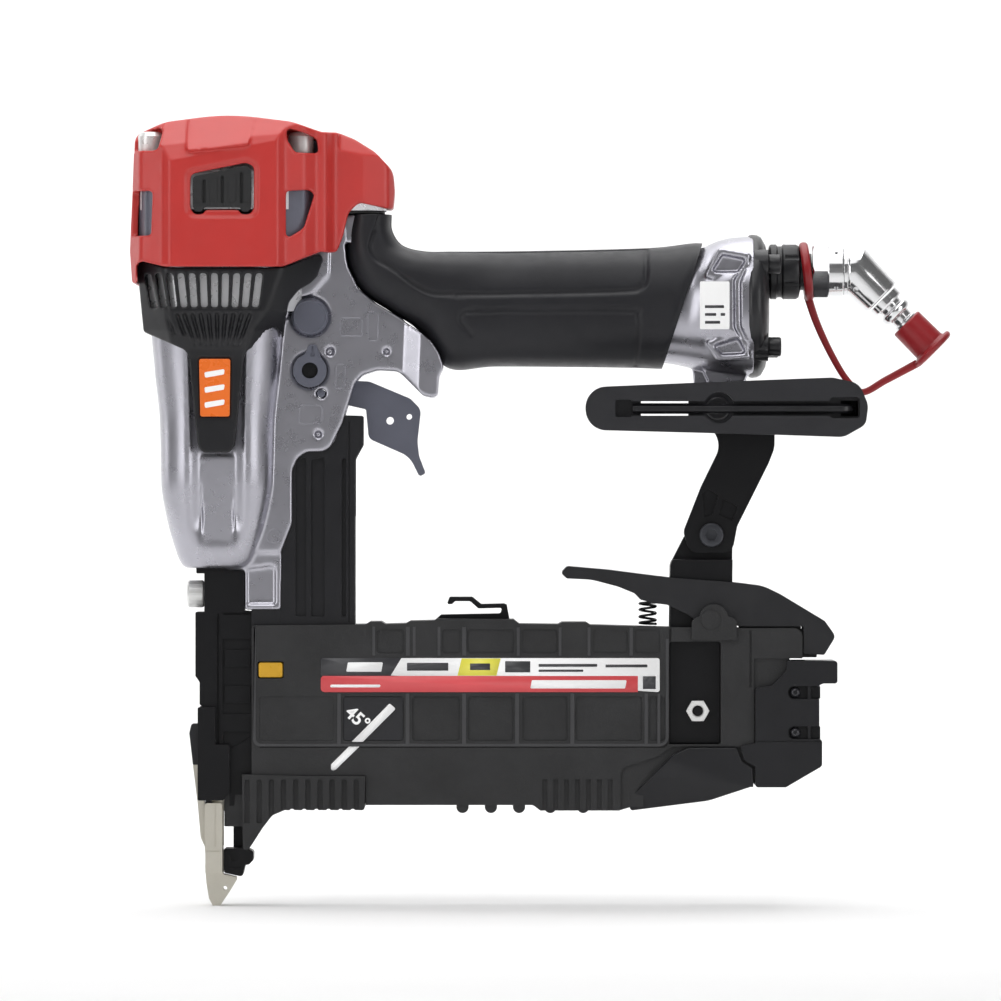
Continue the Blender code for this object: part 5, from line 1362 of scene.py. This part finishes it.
def make_magazine():
    body = plate(
        [
            (12.1, 57.4), (12.1, 100.8, 1), (36, 101), (53, 101.2, 0.5), (54.6, 102.2, 0.5),
            (58.6, 102.2, 0.5), (60, 101.3, 0.5), (67.4, 101.5, 0.5), (69, 102.4, 0.5),
            (77.6, 102.6, 0.5), (78.6, 103.2, 0.5), (106, 103, 0.5), (108, 101.4, 0.5), (122, 101.2, 0.5),
            (123.4, 102, 0.5), (132, 102, 0.5), (133.6, 101, 0.5), (162, 100.2, 1), (188, 99.8),
            (209.6, 99.8, 3), (209.6, 88.6), (210.6, 80), (210.6, 44.4), (192, 44.4), (192, 42.8),
            (147.9, 42.8), (147.9, 35.6), (143.8, 34.4, 0.6), (115.6, 34.4, 0.6), (113, 36.4, 2),
            (53, 36.4), (53, 47), (12.1, 47),
        ],
        -MAGAZINE_HALF, MAGAZINE_HALF,
    )
    ear_outline = [(169.9, 95.6, 0.6), (186.1, 95.6, 0.6), (186.1, 102.2, 1), (184.6, 103.8, 2), (183, 104),
        (181.6, 108.4, 5), (173.8, 108.4, 5), (172.6, 104), (171.4, 103.8, 2), (169.9, 102.2, 1)]
    extras = []
    for side in (-1, 1):
        extras.append(side_plate(ear_outline, side, 11.9, 14.4, 8))
        extras.append(rod(3.4, (176.7, side * 13.9, 102.9), (176.7, side * 14.9, 102.9), 48))
    for x in (87.7, 97.9, 108, 119.2, 131):
        extras.append(cross_rod(2.2, (x, 35.7), 12.4))
    stop = plate([(205, 89.3), (214.8, 89.3), (215.4, 94), (211.6, 99.4), (205, 99.4)], -8.9, 8.9)
    heel = box((146.6, -11.8, 35.8), (152.6, 11.8, 43.4))
    ridge = box((187.2, -8.8, 99), (209.2, 8.8, 101.8))
    fuse(body, *extras, stop, heel, ridge)
    cut(
        body,
        box((0, -5.2, 48), (230, 5.2, 92.4)),
        box((205, -15, 20), (230, 15, 89)),
        plate(rectangle(14.2, 81.8, 23.6, 87.9, 0.8), -20, 0),
        cross_rod(2.3, LATCH_PIVOT, 12.5),
        box((0, 6.4, 99.4), (40, 20, 110)),
    )
    lower_panels = ((44.8, 66.6), (69.6, 86.8), (89.6, 106), (109.2, 125.4), (128.2, 152.2), (154.6, 160.4))
    upper_panels = ((57, 66.8), (80.4, 87), (89.4, 106.2), (109, 121.8), (134.4, 147), (149.4, 158.6))
    window = [(161.9, 58.2), (180.3, 58.2, 1), (180.3, 95, 1), (161.9, 95, 1)]
    groove = [
        (15, 57), (160.4, 57, 2), (162.6, 59.4, 2), (162.6, 101), (161.8, 101), (161.8, 59.8, 1.4),
        (160, 57.8, 1.4), (15, 57.8),
    ]
    shelf = [(144.4, 30), (144.4, 49.6, 3), (157, 53.6, 3), (163, 57.4), (200, 57.4), (200, 30)]
    for side in (-1, 1):
        cut(body, side_plate(window, side, 6, 20))
        cut(body, side_box(side, 6, 9.1, 161.6, 90, 185.4, 112))
        for x0, x1 in lower_panels:
            cut(body, panel_cut(x0, 59.4, x1, 75.4, side, 0.75))
        cut(body, panel_cut(14.8, 59.4, 41.6, 75.4, side, 0.35))
        for x0, x1 in upper_panels:
            cut(body, panel_cut(x0, 90.8, x1, 99.4, side, 0.6))
        cut(body, side_plate(groove, side, MAGAZINE_HALF - 0.9, 20))
        cut(
            body,
            side_box(side, 11.9, 20, 192.2, 30, 220, 89),
            side_box(side, 11.9, 20, 186.6, 30, 193, 57.4),
        )
        cut(body, side_plate(shelf, side, 11.9, 20))
        for i in range(7):
            x = 116.4 + 3.9 * i
            cut(body, side_box(side, 12.2, 20, x, 33, x + 1.7, 45.6))
        cut(body, side_box(side, 12.4, 20, 190.6, 78.6, 191.4, 99))
    piece(crisp(body, 0.3), "magazine_case", NYLON, stands_for=("magazine_body",))
    pane = plate(rectangle(14.6, 82.2, 23.2, 87.5, 0.8), -12.75, -11.6)
    piece(crisp(pane, 0.2), "staple_window", AMBER)


def make_shoe():
    shoe = plate(
        [(8.7, 47.4), (9, 20.4, 1), (11, 20.4, 1), (15.6, 27.6, 6), (19.6, 32.8, 4), (24, 34.6, 1),
            (52.6, 34.6, 1), (52.9, 46.9), (30, 46.9)],
        -14.6, 14.6,
    )
    fuse(shoe, plate([(2.2, 28.6, 0.5), (12, 28.6), (12, 44), (6.4, 44), (2.6, 42), (2.2, 39.4)], -9.2,
        -7.2))
    cut(shoe, box((0, -5.8, 10), (16, 10.2, 50)))
    for side in (-1, 1):
        for i in range(10):
            x = 9.6 + 4.35 * i
            flute = [(x, 30), (x, 45.6, 0.8), (x + 1.9, 45.6, 0.8), (x + 1.9, 30)]
            cut(shoe, side_plate(flute, side, 13.5, 20, 3))
    for i in range(6):
        x = 26.6 + 4.35 * i
        cut(shoe, cross_rod(0.9, (x, 34.2), 20, 20))
    piece(crisp(shoe, 0.3), "front_skid", NYLON, stands_for=("front_shoe",))


def make_rear_guard():
    guard = plate(
        [(147.6, 34.2, 1), (148.4, 39.6, 2), (163.4, 54.6, 6), (168.8, 57, 3), (186, 57, 1),
            (187.9, 52.1, 0.5), (191.6, 49.9, 1), (192, 43.3, 0.5), (176, 37.9, 20)],
        -15.2, 15.2, 8,
    )
    cut(guard, box((140, -12.2, 42.4), (200, 12.2, 70)))
    slice_both(guard, (160, -14.6, 45.6), (-0.05, -0.92, -0.38))
    piece(crisp(guard, 0.5, 3), "rear_bumper", NYLON_SMOOTH, stands_for=("rear_guard",))


def make_ribs():
    """Raised rims round the magazine's recessed panels, on both sides; their lighter nylon is a painted
    highlight along the raised ribs.
    """
    frame_line = [
        (13.6, 100.2, 0.8), (13.6, 58.4, 2), (160.6, 58.4, 2.4), (160.6, 96), (161.6, 96),
        (161.6, 57.4, 3.4), (12.6, 57.4, 2.6), (12.6, 100.2, 0.8),
    ]
    lower = (
        (42.8, 44.1), (67.3, 68.7), (87.6, 89), (106.6, 108), (126.4, 127.8), (153, 154.2), (157.6, 158.6),
    )
    upper = (
        (55.4, 56.4), (67.4, 68.8), (69.9, 70.9), (78.8, 79.8), (87.6, 89), (107.2, 108.2), (122.2, 123.2),
        (132.6, 133.6), (147.6, 148.8),
    )
    for side, name in ((-1, "near"), (1, "far")):
        low, high = sorted((side * (MAGAZINE_HALF + 0.22), side * (MAGAZINE_HALF - 0.8)))
        rims = [plate(frame_line, low, high)]
        rims += [box((x0, low, 58), (x1, high, 76.4)) for x0, x1 in lower]
        rims += [box((x0, low, 90), (x1, high, 100.6 - 0.004 * x0)) for x0, x1 in upper]
        piece(crisp(merged(rims), 0.3), f"magazine_rims_{name}", RIM_HIGHLIGHT)


def make_prints():
    """A plain banded label with no lettering."""
    near, base = -MAGAZINE_HALF - 0.12, -MAGAZINE_HALF + 0.2
    over = near - 0.04
    parts = (
        ("label_white", PRINT_WHITE, [(62, 82.9), (158.4, 76.9, 0.8), (158.4, 89.1, 0.8), (65.8, 89.1)],
            near),
        ("label_dark", PRINT_DARK, [(36.9, 82.6, 0.6), (61.8, 82.6), (65.6, 89.1), (36.9, 89.1, 0.8)],
            near),
        ("label_red", PRINT_RED, [(36.9, 76.9, 1.4), (150.6, 76.9), (150.6, 82.7), (36.9, 82.7, 1.2)],
            over),
        ("label_yellow", PRINT_YELLOW, [(85.9, 82.8), (99.9, 82.8), (101.4, 89), (87.4, 89)], over),
    )
    for name, material, outline, front in parts:
        piece(plate(outline, front, base), name, material)
    dark = (
        (103, 84, 112, 88), (115, 86, 136, 87), (115, 84.2, 131, 85), (139, 85.8, 154, 86.8),
        (67.8, 84.6, 82.6, 87.4), (90.4, 84.8, 97.6, 87.2), (152.4, 78, 157, 82.6),
    )
    bars = [plate(rectangle(*corners, 0.2), near - 0.07, base) for corners in dark]
    piece(merged(bars), "label_bars_dark", PRINT_DARK)
    bars = []
    for x0, z0, x1, z1 in ((112, 78.2, 146, 81.2), (40, 78.6, 58, 79.6), (46, 84.2, 58.6, 87.6)):
        slanted = [(x0, z0, 0.4), (x1, z0, 0.4), (x1 + 0.6, z1, 0.4), (x0 + 0.6, z1, 0.4)]
        bars.append(plate(slanted, near - 0.07, base))
    piece(merged(bars), "label_bars_pale", PRINT_WHITE)


def make_sight():
    """The 45 degree sight line with its angle, on the near side."""
    face = -MAGAZINE_HALF
    upper = plate([(61.6, 72.9, 0.6), (63.8, 70.9, 0.6), (52, 59.1), (48, 59.1)], face - 0.1, face + 0.9)
    lower = plate(
        [(47.2, 57.6), (51, 57.6), (42.4, 49.2, 0.4), (40.5, 48.4, 0.8), (40.6, 51, 0.4)],
        face - 0.1, face + 0.9,
    )
    piece(fuse(upper, lower), "sight_line", PRINT_WHITE)
    patch = plate(rectangle(44.9, 59.5, 66.5, 75.3, 0.6), face + 0.55, face + 1.2)
    piece(crisp(patch, 0.1, 1), "sight_patch", NYLON_GREY)

    text = bpy.data.curves.new("angle_mark", "FONT")
    text.body = "45°"
    text.size = 6.6 * MM
    text.extrude = 0.12 * MM
    text.offset = 0.14 * MM
    mark = bpy.data.objects.new("angle_mark", text)
    bpy.context.scene.collection.objects.link(mark)
    mark.location = point(45.2, face + 0.5, 69)
    mark.rotation_euler = (math.radians(90), math.radians(42), 0)
    bpy.context.view_layer.update()
    mesh = bpy.data.meshes.new_from_object(mark.evaluated_get(bpy.context.evaluated_depsgraph_get()))
    mesh.transform(mark.matrix_world)
    bpy.data.objects.remove(mark, do_unlink=True)
    flat = bpy.data.objects.new("angle_mark", mesh)
    bpy.context.scene.collection.objects.link(flat)
    piece(flat, "angle_mark", PRINT_WHITE)


make_magazine()
make_ribs()
make_shoe()
make_rear_guard()
make_prints()
make_sight()


# ---------------------------------------------------------------- drawer


def make_drawer():
    cap = plate(
        [(188.6, 52.6, 0.5), (192.7, 50.2, 0.5), (192.7, 42.8, 1), (203.6, 42.8, 1), (216.6, 50.4, 1.4),
            (216.6, 59.4, 1), (215.6, 60.4, 0.4), (215.6, 79.4, 0.8), (217, 80), (222.1, 80, 1),
            (222.1, 88.1, 1), (203.8, 88.1, 1), (203.8, 84.6, 1.5), (198.6, 79.2, 1), (192.7, 78.4, 1.5),
            (192.7, 58.6, 0.5), (187.4, 57.6, 0.5)],
        -14.8, 14.8,
    )
    cut(
        cap,
        box((180, -12.2, 44.2), (211.2, 12.2, 95)),
        box((180, -12.2, 30), (193.2, 12.2, 60)),
    )
    # Near-black sheets at the pocket floors, darker than the cap's nylon: painted shade in the screw
    # pockets.
    shade_floors = []
    for z in DRAWER_SCREWS:
        for side in (-1, 1):
            pocket = [(204.4, z - 2.3, 2), (217, z - 2.3), (217, z + 2.3), (204.4, z + 2.3, 2)]
            cut(cap, side_plate(pocket, side, 12.7, 20))
            fuse(cap, side_box(side, 13, 14.2, 211.6, z - 2.5, 212.4, z + 2.5))
            shade_floors.append(side_box(side, 12.3, 12.85, 204.6, z - 2.2, 211.2, z + 2.2))
            shade_floors.append(side_box(side, 12.3, 12.85, 212.8, z - 2.2, 216, z + 2.2))
    for side in (-1, 1):
        cut(cap, side_box(side, 14.3, 20, 192, 59, 217, 59.6))
    piece(crisp(cap, 0.7, 3), "drawer_end", NYLON_SMOOTH, "drawer", ("drawer_cap",))
    piece(crisp(merged(shade_floors), 0.05, 1), "drawer_pocket_shade", OXIDE_DEEP_AND_SHADE, "drawer")
    dome = [(0, 11.4), (2, 11.4), (2, 13.2), (1.7, 13.9), (1, 14.4), (0, 14.6)]
    for i, z in enumerate(DRAWER_SCREWS, 1):
        for side, where in ((-1, "near"), (1, "far")):
            screw = turned(dome, (207, 0, z), Y_AXIS * side, 40)
            cut(screw, rod(0.7, (207, side * 13.8, z), (207, side * 15, z), 6))
            piece(crisp(screw, 0.12), f"drawer_screw_{i}_{where}", SCREW_DARK, "drawer")


make_drawer()


# ---------------------------------------------------------------- nose, contact arm and link cover


def make_nose():
    housing = plate(
        [
            (-5, 120.2, 0.5), (-5, 105.6), (-8.2, 105.6, 0.5), (-8.2, 82.6), (-6.7, 80.4), (-6.7, 72.4),
            (-5.6, 71.6), (-5.6, 51), (-4.6, 50), (-4.6, 36), (-2.8, 34), (-2.8, 52), (4, 52), (4, 36),
            (5.6, 36), (6, 40), (8.6, 40), (8.6, 47.3), (12.2, 47.3), (12.2, 105.8, 0.5), (9.4, 106),
            (9.4, 120.2, 0.5),
        ],
        -9.4, 9.4,
    )
    cut(
        housing,
        box((-2.7, -5.3, 10), (2.9, 5.3, 130)),
        box((0, -5.2, 41), (20, 5.2, 98.4)),
        box((3.4, 6.4, 10), (20, 12, 124)),
        box((9.5, -12, 106.1), (24, 12, 125)),
        rod(2.7, (-15, 0, 112), (-2, 0, 112), 32),
        box((-0.4, -12, 54), (0.4, -8.4, 105)),
        box((1.8, -12, 104.6), (12.4, -8.2, 105.4)),
        box((1.6, -12, 68.9), (12.4, -8.4, 96)),
        plate([(1.8, 54.8), (11.6, 60.6), (11.6, 62.7), (1.8, 62.7)], -12, -8.4),
    )
    wall = [
        (-7.3, 38, 0.5), (1.8, 38, 0.5), (4.2, 41, 0.5), (4.2, 58, 0.5), (-1, 58, 0.5), (-1, 71.4, 0.5),
        (-7.3, 71.4, 0.5),
    ]
    for z in (73, 86):
        fuse(housing, box((2.4, -9.2, z), (11.6, -8, z + 6)))
    for side in (-1, 1):
        collar = side_plate(wall, side, 8.7, 12.2)
        cut(collar, side_box(side, 8, 11.1, -9, 30, 5, 52.2))
        fuse(housing, collar)
    piece(crisp(housing, 0.35), "nose_block", OXIDE_DEEP_AND_SHADE, stands_for=("nose_housing",))


def make_front_bolt():
    bolt = turned([(0, 5.3), (4.4, 5.3), (4.9, 5.8), (4.9, 10.6), (4.4, 11.3), (0, 11.4)], (0, 0, 112),
        -X_AXIS, 56)
    flats = []
    for k in range(18):
        angle = math.tau * k / 18
        spot = Vector((0, math.cos(angle), math.sin(angle))) * 5.1 + Vector((0, 0, 112))
        flats.append(rod(0.35, spot - X_AXIS * 6.2, spot - X_AXIS * 13, 12))
    cut(bolt, *flats, rod(2.4, (-9.4, 0, 112), (-13, 0, 112), 6))
    fuse(bolt, turned([(0, 2.9), (2.4, 2.9), (2.4, 6), (0, 6)], (0, 0, 112), -X_AXIS, 32))
    piece(crisp(bolt, 0.15), "front_bolt", ZINC, stands_for=("nose_bolt",))


def make_contact_foot():
    foot = plate(
        [
            (-7.1, 65.4, 0.5), (-9.8, 65.4, 1), (-10.6, 62, 1), (-9.3, 50.6, 6), (-7.5, 36.4),
            (-6.5, 24.6, 4), (-4, 18.9, 1), (-4.9, 14.4, 1), (-4.4, 8, 2), (-3.5, 2.6, 2), (-2.1, 0),
            (0.6, 0), (3.6, 4.4, 3), (6.4, 9, 1), (6.4, 10.2), (1.6, 11.3), (1.6, 19.6), (-2.6, 19.6),
            (-5, 24.4), (-5, 37), (-7.1, 40.6),
        ],
        -4.4, 4.4,
    )
    cheeks = plate([(-4.6, 12), (1.5, 12), (1.5, 37, 1), (-4.8, 37, 1), (-4.8, 21), (-4.6, 19)], -10.8,
        10.8)
    cut(cheeks, box((-6, -9.7, 21.2), (6, 9.7, 50)))
    fuse(foot, cheeks)
    cut(
        foot,
        box((-0.9, -2.5, -4), (12, 2.5, 30)),
        cross_rod(0.8, (2.3, 6.2), 8, 24),
        box((-1.2, -12, 21.6), (-0.6, -10.3, 38)),
        box((-4.7, -12, 19.6), (1.6, -10.3, 20.1)),
    )
    shield = common(plate([(-14, 50.6), (-6, 50.6), (-6, 70), (-14, 70)], -6, 6), copy_of(foot))
    cut(foot, box((-14, -6, 50.6), (-6, 6, 70)))
    piece(crisp(shield, 0.3), "contact_shield", OXIDE, "contact_arm")
    piece(crisp(foot, 0.3), "contact_shoe", TOOL_STEEL, "contact_arm", ("contact_foot",))


def make_contact_rod():
    block = plate(
        [(1.9, 11.8, 1), (8.6, 10.4, 1), (9.6, 14.6, 0.5), (11, 14.8, 0.8), (12.5, 16.4, 0.8),
            (12.6, 19.6, 1.2), (9.8, 20.6, 0.6), (1.9, 20.6, 0.8)],
        -5.4, 8.3,
    )
    cut(
        block,
        box((-4, -2.6, 5), (5, 2.6, 25)),
        box((3.4, -6, 13.4), (8, -5, 14)),
        rod(1.3, (5.8, -7, 17.2), (5.8, -4.8, 17.2), 32),
    )
    link = plate([(5, 15), (8.6, 15), (8.6, 101.9), (38, 101.9), (38, 149, 2), (31, 149, 2), (31, 105.2),
        (5, 105.2)], 6.8, 8.3)
    fuse(link, block, box((32, -4, 127), (38, 7.4, 129)))
    piece(crisp(link, 0.3), "contact_rod", OXIDE_DEEP_AND_SHADE, "contact_arm", ("contact_link",))


def make_arm_cover():
    cover = plate(
        [(21.4, 100.6), (49.2, 100.6), (49.2, 160.5, 2), (52, 165.6, 2), (52, 176, 0.5), (45.4, 176.2),
            (44.4, 173.6), (41.6, 166.6, 4),
         (39.2, 164.2, 3), (30.6, 164.2, 3), (25.8, 159.6, 3), (25.8, 137.6), (22.4, 128.4), (21.4, 124.6)],
        -10.6, 10.6,
    )
    fuse(cover, box((12, -10.8, 100.4), (22.3, 6, 107.4)))
    cut(
        cover,
        box((29.4, -8.8, 90), (47.4, 8.8, 162.2)),
        box((36, -8.8, 140), (60, 8.8, 190)),
        box((20, 6.3, 90), (32, 8.8, 118)),
    )
    for side in (-1, 1):
        for x0, x1 in ((27.8, 31.6), (33.4, 38.2), (44.4, 45.9)):
            flute = [(x0, 104, 0.5), (x1, 104, 0.5), (x1, 161.2, 0.5), (x0, 160.2, 0.5)]
            cut(cover, side_plate(flute, side, 9.1, 14))
        cut(cover, side_box(side, 10.1, 14, 46.8, 102, 47.4, 174))
    piece(crisp(cover, 0.6, 3), "arm_cover", NYLON_SMOOTH, stands_for=("link_cover",))


make_nose()
make_front_bolt()
make_contact_foot()
make_contact_rod()
make_arm_cover()


# ---------------------------------------------------------------- carried CAD nodes


def carry(names, material, width=0.25):
    """A CAD node whose shape is right keeps it, with a finish and a fine edge radius."""
    for name in names:
        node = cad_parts[name]
        node.data.materials.clear()
        node.data.materials.append(material)
        crisp(node, width)


carry([f"end_cap_bolt_{i}" for i in range(1, 5)], OXIDE)
carry(["stay_bolt"], STAY_STEEL)
carry(["hook_bolt"], OXIDE)
carry(["top_cap"], CAST_BRIGHT)
carry(["cylinder_sleeve", "piston"], MACHINED)
carry(["cap_gasket", "bumper", "head_valve"], RUBBER_SOFT)
carry(["trigger_valve_body"], NYLON_SMOOTH)
carry(["valve_stem"], BRIGHT)
carry(["trigger_pin"], BLUE_GREY)
carry(["driver_guide", "driver_blade", "staple_rail"], TOOL_STEEL)
carry(["pusher"], YELLOW)
